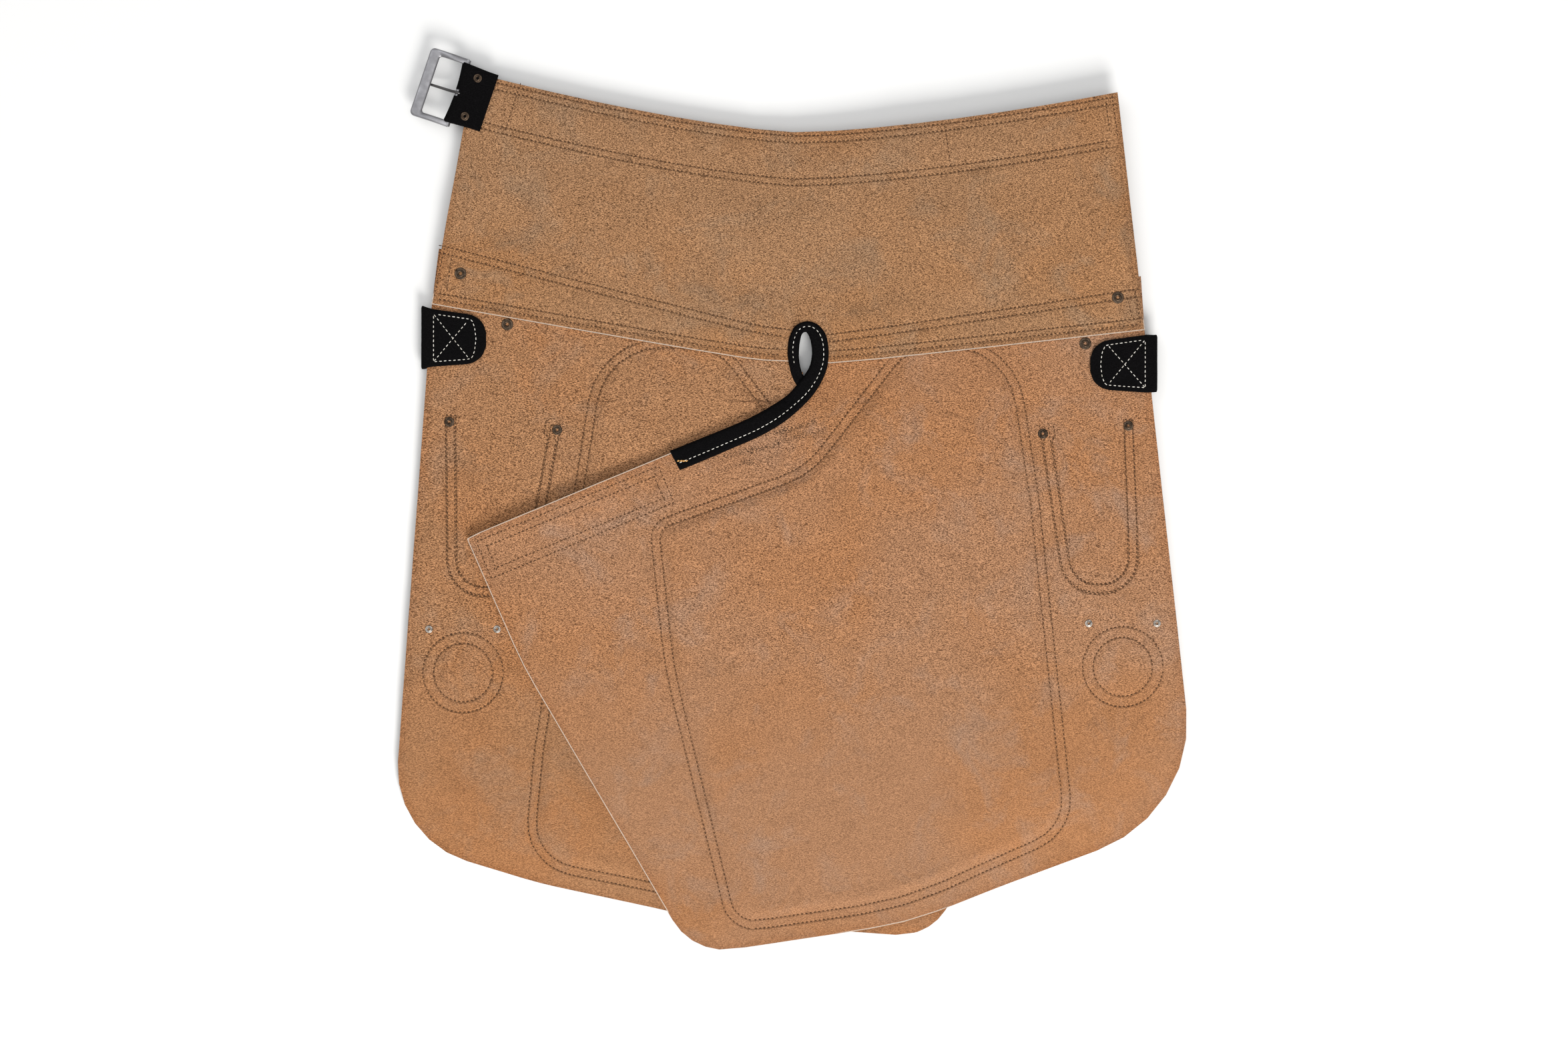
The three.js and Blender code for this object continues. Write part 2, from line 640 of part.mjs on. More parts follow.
// A pocket's corners, from its outer edge beside the leg's side to its inner one.
function pocketCorners(leg, { mouth, foot, mouthWidth, footWidth, footFromSide }) {
  const outerTop = sideAt(leg, mouth) - leg.side * POCKET_FROM_SIDE;
  const outerFoot = sideAt(leg, foot) - leg.side * footFromSide;
  return [
    [outerTop, mouth, POCKET_CORNER],
    [outerFoot, foot, POCKET_FOOT],
    [outerFoot - leg.side * footWidth, foot, POCKET_FOOT],
    [outerTop - leg.side * mouthWidth, mouth - POCKET_MOUTH_SLANT, POCKET_CORNER],
  ];
}

const leftPocket = pocketCorners(LEFT_LEG, {
  mouth: POCKET_MOUTH + 2, foot: POCKET_MOUTH - 140, mouthWidth: 93, footWidth: 68, footFromSide: 25,
});
const rightPocket = pocketCorners(RIGHT_LEG, {
  mouth: POCKET_MOUTH - 1, foot: POCKET_MOUTH - 138, mouthWidth: 76, footWidth: 62, footFromSide: 22.5,
});
const magnetAt = (leg, y) => new THREE.Vector2(sideAt(leg, y) - leg.side * MAGNET_FROM_SIDE, y);
const leftMagnet = magnetAt(LEFT_LEG, POCKET_MOUTH - 194);
const rightMagnet = magnetAt(RIGHT_LEG, POCKET_MOUTH - 189.5);

function placePocketRivets(side, corners, underside) {
  const [outer, , , inner] = corners;
  const sign = Math.sign(inner[0] - outer[0]);
  const low = underside - GAP - TRIM;
  const high = underside + LEATHER;
  const [dx, dy] = [POCKET_MARGIN / 2, POCKET_RIVET_DROP];
  placeRivet(`rivet_${side}_pocket_outer`, outer[0] + sign * dx, outer[1] - dy, POCKET_RIVET, low, high);
  placeRivet(`rivet_${side}_pocket_inner`, inner[0] - sign * dx, inner[1] - dy, POCKET_RIVET, low, high);
}

function placePadRivets(side, { x, y }, sign, underside) {
  const [dx, dy] = [PAD_WIDTH / 2 - PAD_RIVET_INSET.x, PAD_HEIGHT / 2 - PAD_RIVET_INSET.y];
  const low = underside - GAP - TRIM;
  const high = underside + LEATHER;
  placeRivet(`rivet_${side}_pad_outer`, x + sign * dx, y + dy, PAD_RIVET, low, high);
  placeRivet(`rivet_${side}_pad_inner`, x - sign * dx, y + dy, PAD_RIVET, low, high);
}

function placeYokeRivets(side, sign, topsZ, fromSide) {
  const u = sign * (YOKE_BOTTOM_HALF - YOKE_RIVET_IN);
  const joint = onYoke(u, lowerEdge(u) + YOKE_RIVET_UP);
  const high = topsZ + 2 * LEATHER + GAP;
  placeRivet(`rivet_${side}_yoke`, joint.x, joint.y, BIG_RIVET, topsZ, high);
  const w = sign * (YOKE_BOTTOM_HALF - fromSide);
  const below = onYoke(w, lowerEdge(w) - BIG_RIVET - 2 * GAP);
  placeRivet(`rivet_${side}_loop`, below.x, below.y, BIG_RIVET, topsZ - GAP - TRIM, topsZ + LEATHER);
}

function placeChapeRivet(name, v) {
  const turned = new THREE.Vector2(-CHAPE_RIVET_BACK, v)
    .rotateAround(new THREE.Vector2(), CHAPE_TURN).add(barCentre);
  const reach = LEATHER / 2 + GAP + TRIM;
  placeRivet(name, turned.x, turned.y, CHAPE_RIVET, barZ - reach, barZ + reach);
}

placeChapeRivet('rivet_chape_upper', -CHAPE_RIVET_APART / 2);
placeChapeRivet('rivet_chape_lower', CHAPE_RIVET_APART / 2);
placeYokeRivets('left', -1, LEFT_Z, LOOP_FRONT - 9);
placeYokeRivets('right', 1, RIGHT_Z, LOOP_FRONT - 22);
placePocketRivets('left', leftPocket, LEFT_Z);
placePocketRivets('right', rightPocket, RIGHT_Z);
placePadRivets('left', leftMagnet, -1, LEFT_Z);
placePadRivets('right', rightMagnet, 1, RIGHT_Z);

const holes = rivetHoles();
const pierced = (solid) => combine(solid, holes, 'subtract');

// ---- assembly ----

const leftOutline = legOutline(LEFT_LEG);
const rightOutline = legOutline(RIGHT_LEG);
const leftHalf = box(-FAR, SLIT.x, -FAR, FAR, -FAR, FAR);
const rightHalf = box(SLIT.x, FAR, -FAR, FAR, -FAR, FAR);

add('yoke', pierced(ply(yokeOutline, YOKE_LIE, 0, LEATHER).subtract(slitCut(0))), 'suede');
add('waist_band', ply(bandOutline, YOKE_LIE, -GAP - BAND, -GAP), 'grain');
add('belt_anchor', prism(beltOutline(BELT_SEWN, 3), beltTop - BELT, beltTop), 'belt');
add('belt_strap', beltSolid(), 'belt');
add('chape', pierced(onChape(chapeSolid())), 'black');
add('buckle_frame', onChape(buckleSolid()), 'steel');
add('buckle_prong', onChape(prongSolid()), 'steel');

// The strip's loop round the slit: over the yoke, through the slit and under the legs' tops.
function slitLoopSolid() {
  const reach = [-GAP - TRIM, 2 * LEATHER + 2 * GAP + TRIM];
  const shapes = [slitOutline(LOOP_RIM), bindingStrip(RIGHT_LEG), bindingStrip(LEFT_LEG)];
  const [ring, right, left] = shapes.map((points) => ply(points, TOPS_LIE, ...reach));
  const short = box(-FAR, FAR, -FAR, SLIT.y - SLIT_HALF_HEIGHT, -FAR, FAR);
  const band = ring.add(right.add(left).intersect(short)).intersect(aboveFold);
  const yoke = ply(grow(yokeOutline, GAP), YOKE_LIE, -GAP, LEATHER + GAP);
  const tops = ply(grow(leftOutline, GAP), TOPS_LIE, -GAP, LEATHER + GAP).intersect(leftHalf)
    .add(ply(grow(rightOutline, GAP), TOPS_LIE, -GAP, LEATHER + GAP).intersect(rightHalf));
  const leather = yoke.add(tops).subtract(slitCut(GAP));
  return band.subtract(leather).subtract(prism(slitOutline(0), -FAR, FAR));
}

add('slit_binding_loop', slitLoopSolid(), 'black');

function addLeg(side, leg, outline, profile, half, patch) {
  const top = ply(outline, TOPS_LIE, 0, LEATHER).intersect(aboveFold).intersect(half);
  const panel = ply(outline, profile, 0, LEATHER).intersect(belowFold);
  add(`${side}_leg_top`, pierced(top.subtract(slitCut(0))), 'suede');
  add(`${side}_leg_panel`, pierced(panel), 'suede');
  const kneePatch = patchOutline(patch);
  const below = [-GAP - PATCH, -GAP];
  add(`${side}_knee_patch_top`, ply(kneePatch, TOPS_LIE, ...below).intersect(aboveFold), 'grain');
  add(`${side}_knee_patch`, ply(kneePatch, profile, ...below).intersect(belowFold), 'grain');
  add(`${side}_slit_binding`, bindingSolid(leg, profile), 'black');
  add(`${side}_strap_tab`, ply(tabOutline(leg), profile, -GAP - TRIM, -GAP), 'grain');
}

addLeg('left', LEFT_LEG, leftOutline, LEFT_LIE, leftHalf, LEFT_PATCH);
addLeg('right', RIGHT_LEG, rightOutline, RIGHT_LIE, rightHalf, RIGHT_PATCH);

function addFittings(side, leg, pocket, magnet, underside) {
  add(`${side}_side_loop`, pierced(loopSolid(leg, underside)), 'black');
  add(`${side}_knife_pocket`, pierced(pocketSolid(pocket, underside)), 'grain');
  add(`${side}_magnet_pad`, pierced(padSolid(magnet, underside)), 'grain');
  add(`${side}_magnet`, magnetSolid(magnet, underside), 'magnet');
}

addFittings('left', LEFT_LEG, leftPocket, leftMagnet, LEFT_Z);
addFittings('right', RIGHT_LEG, rightPocket, rightMagnet, RIGHT_Z);

rivets.forEach((rivet) => add(rivet.name, rivetSolid(rivet), 'rivet'));

export default apron;
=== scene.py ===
# A farrier's split-leg leather apron, laid out with its suede side up and its right leg over the left.
import json

import bmesh
import bpy
import numpy as np
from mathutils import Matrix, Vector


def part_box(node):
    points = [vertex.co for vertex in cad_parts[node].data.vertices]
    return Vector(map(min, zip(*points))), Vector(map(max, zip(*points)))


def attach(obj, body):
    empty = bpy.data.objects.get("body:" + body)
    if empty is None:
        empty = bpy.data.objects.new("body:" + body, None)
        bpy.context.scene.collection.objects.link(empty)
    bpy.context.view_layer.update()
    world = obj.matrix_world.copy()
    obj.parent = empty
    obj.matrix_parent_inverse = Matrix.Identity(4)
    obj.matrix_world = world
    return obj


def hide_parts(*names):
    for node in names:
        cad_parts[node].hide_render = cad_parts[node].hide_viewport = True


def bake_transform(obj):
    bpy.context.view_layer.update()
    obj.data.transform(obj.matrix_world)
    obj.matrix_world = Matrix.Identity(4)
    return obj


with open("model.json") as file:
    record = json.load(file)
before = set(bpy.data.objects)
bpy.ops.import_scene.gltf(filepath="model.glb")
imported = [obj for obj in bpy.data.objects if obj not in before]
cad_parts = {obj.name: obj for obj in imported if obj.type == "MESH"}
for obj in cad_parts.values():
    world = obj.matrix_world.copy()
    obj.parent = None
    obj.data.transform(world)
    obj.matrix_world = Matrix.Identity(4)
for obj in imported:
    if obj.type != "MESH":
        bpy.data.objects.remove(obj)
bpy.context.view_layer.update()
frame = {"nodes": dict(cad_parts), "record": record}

MM = 0.001

# ---- Studio ----
# The apron lies on a white table under a large soft lamp from beyond the hems, so that each
# edge throws a narrow soft shadow towards the waist. The camera looks straight down.
VIEW_WIDTH = 1174.5 * MM
VIEW_CENTRE = (-5.0 * MM, -19.3 * MM)
CAMERA_HEIGHT = 2.2
SENSOR = 36.0

camera_data = bpy.data.cameras.new("camera")
camera_data.sensor_width = SENSOR
camera_data.lens = SENSOR * (CAMERA_HEIGHT - 10 * MM) / VIEW_WIDTH
camera_data.clip_end = 50
camera = bpy.data.objects.new("camera", camera_data)
camera.location = (*VIEW_CENTRE, CAMERA_HEIGHT)
bpy.context.scene.collection.objects.link(camera)
bpy.context.scene.camera = camera


def lamp(name, place, aim, size, power, tint=(1, 1, 1)):
    """A square area lamp at a place, turned towards a point."""
    data = bpy.data.lights.new(name, "AREA")
    data.size = size
    data.energy = power
    data.color = tint
    lamp_object = bpy.data.objects.new(name, data)
    lamp_object.location = place
    away = np.array(place, float) - np.array(aim, float)
    turn = np.arctan2(np.hypot(away[0], away[1]), away[2])
    lamp_object.rotation_euler = (turn, 0, np.arctan2(away[1], away[0]) + np.pi / 2)
    bpy.context.scene.collection.objects.link(lamp_object)


lamp("key", (0.8, -2.4, 1.8), (0, 0, 0), 1.2, 92, (1.0, 0.985, 0.96))
lamp("fill", (-1.8, 1.4, 2.6), (0, 0, 0), 2.2, 20, (0.96, 0.98, 1.0))
lamp("top", (0.2, -0.4, 3.4), (0, 0, 0), 2.6, 30)

bpy.context.scene.view_settings.view_transform = "Standard"
world = bpy.data.worlds.new("studio")
world.use_nodes = True
world.node_tree.nodes["Background"].inputs["Color"].default_value = (1, 1, 1, 1)
world.node_tree.nodes["Background"].inputs["Strength"].default_value = 0.42
bpy.context.scene.world = world


def wire(tree, kind, links=None, **settings):
    """Adds a node: links go to its inputs as sockets or values, settings to its own properties."""
    node = tree.nodes.new(kind)
    for name, value in settings.items():
        setattr(node, name, value)
    for name, value in (links or {}).items():
        socket = node.inputs[name]
        if isinstance(value, bpy.types.NodeSocket):
            tree.links.new(value, socket)
        else:
            socket.default_value = value
    return node


def new_material(name):
    """An empty material with a surface shader and its output."""
    material = bpy.data.materials.new(name)
    material.use_nodes = True
    tree = material.node_tree
    return material, tree, tree.nodes["Principled BSDF"]


FLOOR_HALF = 7.0
floor_mesh = bpy.data.meshes.new("table")
floor_mesh.from_pydata(
    [(x * FLOOR_HALF, y * FLOOR_HALF, -0.2 * MM) for x, y in ((-1, -1), (1, -1), (1, 1), (-1, 1))],
    [], [(0, 1, 2, 3)],
)
floor = bpy.data.objects.new("table", floor_mesh)
bpy.context.scene.collection.objects.link(floor)
floor_material, _, floor_shader = new_material("white_table")
floor_shader.inputs["Base Color"].default_value = (0.9, 0.9, 0.895, 1)
floor_shader.inputs["Roughness"].default_value = 0.7
floor_mesh.materials.append(floor_material)


# ---- Suede and grain ----
# The apron is one tan split hide, used with its napped flesh side inwards. The nap is short tufts
# that lean different ways, and handling has left greyish, orange and brown patches in it.


def node_group(name, inputs, outputs):
    """An empty shader node group; inputs are (name, type, value), outputs (name, type)."""
    group = bpy.data.node_groups.new(name, "ShaderNodeTree")
    for socket_name, kind, value in inputs:
        socket = group.interface.new_socket(socket_name, in_out="INPUT", socket_type=kind)
        socket.default_value = value
    for socket_name, kind in outputs:
        group.interface.new_socket(socket_name, in_out="OUTPUT", socket_type=kind)
    return group, group.nodes.new("NodeGroupInput"), group.nodes.new("NodeGroupOutput")


def noise(tree, place, scale, detail=3.0, roughness=0.55, distortion=0.0):
    """A noise value between 0 and 1 at a place."""
    node = wire(tree, "ShaderNodeTexNoise", {
        "Vector": place, "Scale": scale, "Detail": detail, "Roughness": roughness,
        "Distortion": distortion,
    })
    return node.outputs["Fac"]


def ranged(tree, value, low, high, out_low=0.0, out_high=1.0):
    """A value carried from one range to another and held inside it."""
    return wire(tree, "ShaderNodeMapRange", {
        "Value": value, "From Min": low, "From Max": high, "To Min": out_low, "To Max": out_high,
    }).outputs["Result"]


def math(tree, operation, a, b=0.0):
    """One arithmetic step."""
    node = wire(tree, "ShaderNodeMath", operation=operation)
    for socket, value in zip(node.inputs, (a, b)):
        if isinstance(value, bpy.types.NodeSocket):
            tree.links.new(value, socket)
        else:
            socket.default_value = value
    return node.outputs["Value"]


def blend_colours(tree, share, a, b, kind="MIX"):
    """Two colours mixed by a share."""
    node = wire(tree, "ShaderNodeMix", data_type="RGBA", blend_type=kind)
    for socket, value in ((node.inputs[0], share), (node.inputs[6], a), (node.inputs[7], b)):
        if isinstance(value, bpy.types.NodeSocket):
            tree.links.new(value, socket)
        else:
            socket.default_value = value
    return node.outputs[2]


def make_nap():
    """Height and tone of short tufts: two sizes of stretched noise, the smaller on the larger."""
    group, into, out = node_group(
        "suede_nap",
        [("Tuft Size", "NodeSocketFloat", 1.3), ("Lean", "NodeSocketFloat", 0.5)],
        [("Height", "NodeSocketFloat"), ("Tone", "NodeSocketFloat")],
    )
    place = group.nodes.new("ShaderNodeTexCoord").outputs["Object"]
    drift = wire(group, "ShaderNodeTexNoise", {"Vector": place, "Scale": 22.0, "Detail": 2.0})
    shifted = wire(group, "ShaderNodeVectorMath", {0: drift.outputs["Color"], 1: (0.5, 0.5, 0.5)},
                   operation="SUBTRACT")
    reach = wire(group, "ShaderNodeVectorMath", {0: shifted.outputs[0], "Scale": 0.006},
                 operation="SCALE")
    bent = wire(group, "ShaderNodeVectorMath", {0: place, 1: reach.outputs[0]}, operation="ADD")
    combed = wire(group, "ShaderNodeMapping", {"Vector": bent.outputs[0], "Rotation": (0, 0, 0.7),
                                               "Scale": (0.62, 1.25, 1.0)}).outputs["Vector"]
    rate = math(group, "DIVIDE", 1000.0, into.outputs["Tuft Size"])
    tufts = noise(group, combed, rate, 2.0, 0.6)
    clumps = noise(group, combed, math(group, "MULTIPLY", rate, 0.33), 2.0, 0.5)
    fibres = noise(group, combed, math(group, "MULTIPLY", rate, 1.6), 1.0, 0.5)
    height = math(group, "ADD", math(group, "MULTIPLY", tufts, 0.62),
                  math(group, "MULTIPLY", clumps, 0.38))
    tone = math(group, "ADD", math(group, "MULTIPLY", tufts, 0.5),
                math(group, "MULTIPLY", fibres, 0.5))
    group.links.new(height, out.inputs["Height"])
    group.links.new(tone, out.inputs["Tone"])
    return group


def make_hide_tones():
    """The hide's own patches of colour: broad clouds, blotches and faint pale scratches."""
    group, into, out = node_group(
        "hide_tones",
        [
            ("Plain", "NodeSocketColor", (0.45, 0.24, 0.13, 1)),
            ("Orange", "NodeSocketColor", (0.47, 0.22, 0.1, 1)),
            ("Grey", "NodeSocketColor", (0.42, 0.25, 0.16, 1)),
            ("Dark", "NodeSocketColor", (0.25, 0.11, 0.05, 1)),
            ("Shift", "NodeSocketVector", (0, 0, 0)),
        ],
        [("Color", "NodeSocketColor"), ("Scratch", "NodeSocketFloat")],
    )
    place = group.nodes.new("ShaderNodeTexCoord").outputs["Object"]
    moved = wire(group, "ShaderNodeVectorMath", {0: place, 1: into.outputs["Shift"]},
                 operation="ADD").outputs[0]
    clouds = noise(group, moved, 7.0, 3.0, 0.5, 0.4)
    blotches = noise(group, moved, 26.0, 4.0, 0.6, 0.6)
    stains = noise(group, moved, 60.0, 3.0, 0.6)
    warm = blend_colours(group, ranged(group, clouds, 0.44, 0.62), into.outputs["Plain"],
                         into.outputs["Orange"])
    cool = blend_colours(group, ranged(group, blotches, 0.5, 0.72, 0.0, 0.75), warm,
                         into.outputs["Grey"])
    dark = blend_colours(group, ranged(group, stains, 0.58, 0.85, 0.0, 0.4), cool,
                         into.outputs["Dark"])
    stretched = wire(group, "ShaderNodeVectorMath", {0: moved, 1: (40.0, 300.0, 40.0)},
                     operation="MULTIPLY").outputs[0]
    lines = noise(group, stretched, 1.0, 2.0, 0.5, 1.6)
    scratch = math(group, "MULTIPLY", ranged(group, lines, 0.7, 0.78),
                   ranged(group, blotches, 0.5, 0.62))
    group.links.new(dark, out.inputs["Color"])
    group.links.new(scratch, out.inputs["Scratch"])
    return group


nap_group = make_nap()
tones_group = make_hide_tones()


def attribute(tree, name):
    """A number that a piece carries at each of its points."""
    return wire(tree, "ShaderNodeAttribute", attribute_name=name).outputs["Fac"]


def suede_material(name, plain, orange, grey, tuft=0.85, depth=0.55, fleck=1.0, shift=(0, 0, 0)):
    """Napped suede: tones of the hide flecked by its tufts, darker along its cut edges, with painted
    shade along its seams, smoother where it is worn, and pale where the cut shows along an edge."""
    material, tree, shader = new_material(name)
    dark = tuple(c * 0.42 for c in plain[:3]) + (1,)
    tones = wire(tree, "ShaderNodeGroup", node_tree=tones_group)
    for socket, value in (("Plain", plain), ("Orange", orange), ("Grey", grey), ("Dark", dark)):
        tones.inputs[socket].default_value = value
    tones.inputs["Shift"].default_value = shift
    nap = wire(tree, "ShaderNodeGroup", node_tree=nap_group)
    nap.inputs["Tuft Size"].default_value = tuft
    flecks = blend_colours(tree, ranged(tree, nap.outputs["Tone"], 0.39, 0.61), (0.24, 0.2, 0.17, 1),
                           (1.84, 1.87, 1.9, 1))
    calm = ranged(tree, attribute(tree, "calm"), 0.0, 1.0, fleck, fleck * 0.5)
    napped = blend_colours(tree, calm, tones.outputs["Color"], flecks, "MULTIPLY")
    scratched = blend_colours(tree, math(tree, "MULTIPLY", tones.outputs["Scratch"], 0.25), napped,
                              (0.5, 0.33, 0.2, 1))
    rubbed = ranged(tree, attribute(tree, "edge"), 0.0, 7.0, 0.32, 0.0)
    edged = blend_colours(tree, rubbed, scratched, (0.7, 0.55, 0.42, 1), "MULTIPLY")
    dusty = math(tree, "MULTIPLY", attribute(tree, "scuff"),
                 ranged(tree, nap.outputs["Tone"], 0.58, 0.42))
    worn = blend_colours(tree, dusty, edged, (0.035, 0.02, 0.012, 1))
    pale = math(tree, "MULTIPLY", attribute(tree, "pale"),
                ranged(tree, attribute(tree, "edge"), 0.35, 0.8, 0.85, 0.0))
    cut = blend_colours(tree, pale, worn, (0.62, 0.52, 0.43, 1))
    tree.links.new(cut, shader.inputs["Base Color"])
    bump = wire(tree, "ShaderNodeBump", {"Height": nap.outputs["Height"], "Strength": depth,
                                         "Distance": 1.1 * MM})
    tree.links.new(bump.outputs["Normal"], shader.inputs["Normal"])
    shader.inputs["Roughness"].default_value = 0.95
    shader.inputs["Specular IOR Level"].default_value = 0.1
    shader.inputs["Sheen Weight"].default_value = 0.06
    shader.inputs["Sheen Roughness"].default_value = 0.45
    shader.inputs["Sheen Tint"].default_value = (1.0, 0.85, 0.7, 1)
    return material


def grain_material(name, colour, shift=(0, 0, 0)):
    """The smooth outer side of the same hide: fine pores and creases under a dull wax."""
    material, tree, shader = new_material(name)
    place = tree.nodes.new("ShaderNodeTexCoord").outputs["Object"]
    tones = wire(tree, "ShaderNodeGroup", node_tree=tones_group)
    for socket, scale in (("Plain", 1.0), ("Orange", 0.9), ("Grey", 0.86), ("Dark", 0.5)):
        tones.inputs[socket].default_value = tuple(c * scale for c in colour[:3]) + (1,)
    tones.inputs["Shift"].default_value = shift
    rubbed = ranged(tree, attribute(tree, "edge"), 0.0, 6.0, 0.45, 0.0)
    edged = blend_colours(tree, rubbed, tones.outputs["Color"], colour[:3] + (1,), "MULTIPLY")
    seamed = blend_colours(tree, math(tree, "MULTIPLY", attribute(tree, "seam"), 0.45), edged,
                           tuple(c * 0.35 for c in colour[:3]) + (1,))
    tree.links.new(seamed, shader.inputs["Base Color"])
    cells = wire(tree, "ShaderNodeTexVoronoi", {"Vector": place, "Scale": 620.0},
                 feature="DISTANCE_TO_EDGE").outputs["Distance"]
    creases = ranged(tree, cells, 0.0, 0.25)
    height = math(tree, "ADD", math(tree, "MULTIPLY", creases, 0.5),
                  math(tree, "MULTIPLY", noise(tree, place, 90.0), 0.7))
    height = math(tree, "ADD", height, math(tree, "MULTIPLY", attribute(tree, "seam"), -0.6))
    bump = wire(tree, "ShaderNodeBump", {"Height": height, "Strength": 0.35, "Distance": 0.8 * MM})
    tree.links.new(bump.outputs["Normal"], shader.inputs["Normal"])
    shine = ranged(tree, noise(tree, place, 45.0), 0.3, 0.7, 0.5, 0.68)
    tree.links.new(shine, shader.inputs["Roughness"])
    shader.inputs["Specular IOR Level"].default_value = 0.35
    return material


def cut_edge_material(name, colour):
    """The raw cut through the hide: pale, fibrous layers."""
    material, tree, shader = new_material(name)
    place = tree.nodes.new("ShaderNodeTexCoord").outputs["Object"]
    fibres = noise(tree, place, 900.0, 2.0)
    tree.links.new(
        blend_colours(tree, ranged(tree, fibres, 0.35, 0.7), tuple(c * 0.7 for c in colour[:3]) + (1,),
                      colour),
        shader.inputs["Base Color"],
    )
    bump = wire(tree, "ShaderNodeBump", {"Height": fibres, "Strength": 0.4, "Distance": 0.5 * MM})
    tree.links.new(bump.outputs["Normal"], shader.inputs["Normal"])
    shader.inputs["Roughness"].default_value = 0.95
    shader.inputs["Specular IOR Level"].default_value = 0.1
    return material


pale_cut = cut_edge_material("pale_cut_edge", (0.5, 0.4, 0.31, 1))
grain_tan = grain_material("tan_grain", (0.31, 0.145, 0.06, 1))
suede_yoke = suede_material("yoke_suede", (0.31, 0.166, 0.083, 1), (0.325, 0.16, 0.071, 1),
                            (0.27, 0.168, 0.1, 1), fleck=0.95, shift=(3, 1, 0))
suede_left = suede_material("left_leg_suede", (0.325, 0.163, 0.078, 1), (0.34, 0.155, 0.066, 1),
                            (0.3, 0.168, 0.095, 1), tuft=0.98, depth=0.7, fleck=0.95, shift=(0, 2, 0))
suede_right = suede_material("right_leg_suede", (0.335, 0.17, 0.088, 1), (0.345, 0.16, 0.071, 1),
                             (0.31, 0.185, 0.12, 1), tuft=0.88, depth=0.6, fleck=0.9, shift=(1, 5, 0))


# ---- Yoke ----
# The yoke is the broad piece over the hips. Its waist edge dips in the middle, and its pale cut
# lower edge lies over the tops of both legs. It is a ruled surface between those two edges.


def plan_of(node, top_only=False):
    """The outline of a CAD ply in plan: the edges where its upward faces end, as one closed loop."""
    mesh = frame["nodes"][node].data
    points = np.array([v.co for v in mesh.vertices])
    keys, index = np.unique(np.round(points / (20 * MM) * 20000), axis=0, return_inverse=True)
    index = index.ravel()
    places = np.zeros((len(keys), 3))
    places[index] = points
    up = [p for p in mesh.polygons if p.normal.z > 0.5]
    if top_only:
        highest = points[:, 2].max() - 0.05 * MM
        up = [p for p in up if min(points[v][2] for v in p.vertices) > highest]
    after = {}
    for polygon in up:
        corners = [int(index[v]) for v in polygon.vertices]
        for a, b in zip(corners, corners[1:] + corners[:1]):
            after.setdefault(a, set()).add(b)
    rim = {a: [b for b in ends if a not in after.get(b, ())] for a, ends in after.items()}
    loops = []
    while any(rim.values()):
        start = next(a for a, ends in rim.items() if ends)
        loop = [start]
        while rim.get(loop[-1]):
            loop.append(rim[loop[-1]].pop())
        loops.append(places[loop[:-1]][:, :2])
    return max(loops, key=lambda loop: np.ptp(loop, axis=0).sum())


def measured(loop):
    """A closed loop's points with the first again at the end, and the way along it at each."""
    closed = np.vstack([loop, loop[:1]])
    return closed, np.concatenate([[0], np.cumsum(np.linalg.norm(np.diff(closed, axis=0), axis=1))])


def along(line, count, start=0.0, end=1.0):
    """Evenly spaced points on an open line, between two shares of its length."""
    way = np.concatenate([[0], np.cumsum(np.linalg.norm(np.diff(line, axis=0), axis=1))])
    at = np.linspace(start, end, count) * way[-1]
    return np.stack([np.interp(at, way, line[:, k]) for k in range(2)], axis=1)


def away_from(line, x, y, closed=False):
    """The distance in the plane from each point to a line of straight stretches."""
    ends = np.vstack([line, line[:1]]) if closed else line
    a, step = ends[:-1], np.diff(ends, axis=0)
    flat = np.stack([np.ravel(x), np.ravel(y)], axis=1)[:, None, :] - a[None]
    share = np.clip((flat * step).sum(2) / np.maximum((step * step).sum(1), 1e-12), 0, 1)
    far = np.linalg.norm(flat - share[..., None] * step, axis=2).min(axis=1)
    return far.reshape(np.shape(x))


def inside(loop, x, y):
    """Whether each point lies in a closed loop, by counting the crossings to its right."""
    ax, ay = loop[:, 0], loop[:, 1]
    bx, by = np.roll(ax, -1), np.roll(ay, -1)
    px, py = np.ravel(x)[:, None], np.ravel(y)[:, None]
    rise = np.where(np.abs(by - ay) < 1e-9, 1e-9, by - ay)
    crossed = ((ay > py) != (by > py)) & (px < (bx - ax) * (py - ay) / rise + ax)
    return (crossed.sum(axis=1) % 2 == 1).reshape(np.shape(x))


def depth_in(loop, x, y):
    """The distance in from a closed loop, in millimetres, less than nought outside it."""
    far = away_from(loop, x, y, closed=True) / MM
    return np.where(inside(loop, x, y), far, -far)


def ease(value, low, high):
    """A smooth step from 0 at low to 1 at high."""
    t = np.clip((value - low) / (high - low), 0, 1)
    return t * t * (3 - 2 * t)


def wander(x, y, size, seed):
    """A smooth wandering field of a size, as a sum of a dozen plane waves of random direction."""
    random = np.random.default_rng(seed)
    total = np.zeros(np.shape(x))
    for angle, phase, rate in zip(random.uniform(0, 2 * np.pi, 12), random.uniform(0, 2 * np.pi, 12),
                                  random.uniform(0.6, 1.5, 12)):
        total += np.sin((x * np.cos(angle) + y * np.sin(angle)) * rate * 2 * np.pi / size + phase)
    return total / 3.4


def put(name, points, faces, materials, smooth=True):
    """A new object at the origin from points and faces, with its materials."""
    mesh = bpy.data.meshes.new(name)
    mesh.from_pydata(points, [], faces)
    if smooth:
        mesh.polygons.foreach_set("use_smooth", np.ones(len(mesh.polygons), bool))
    for material in materials:
        mesh.materials.append(material)
    made = bpy.data.objects.new(name, mesh)
    bpy.context.scene.collection.objects.link(made)
    return made


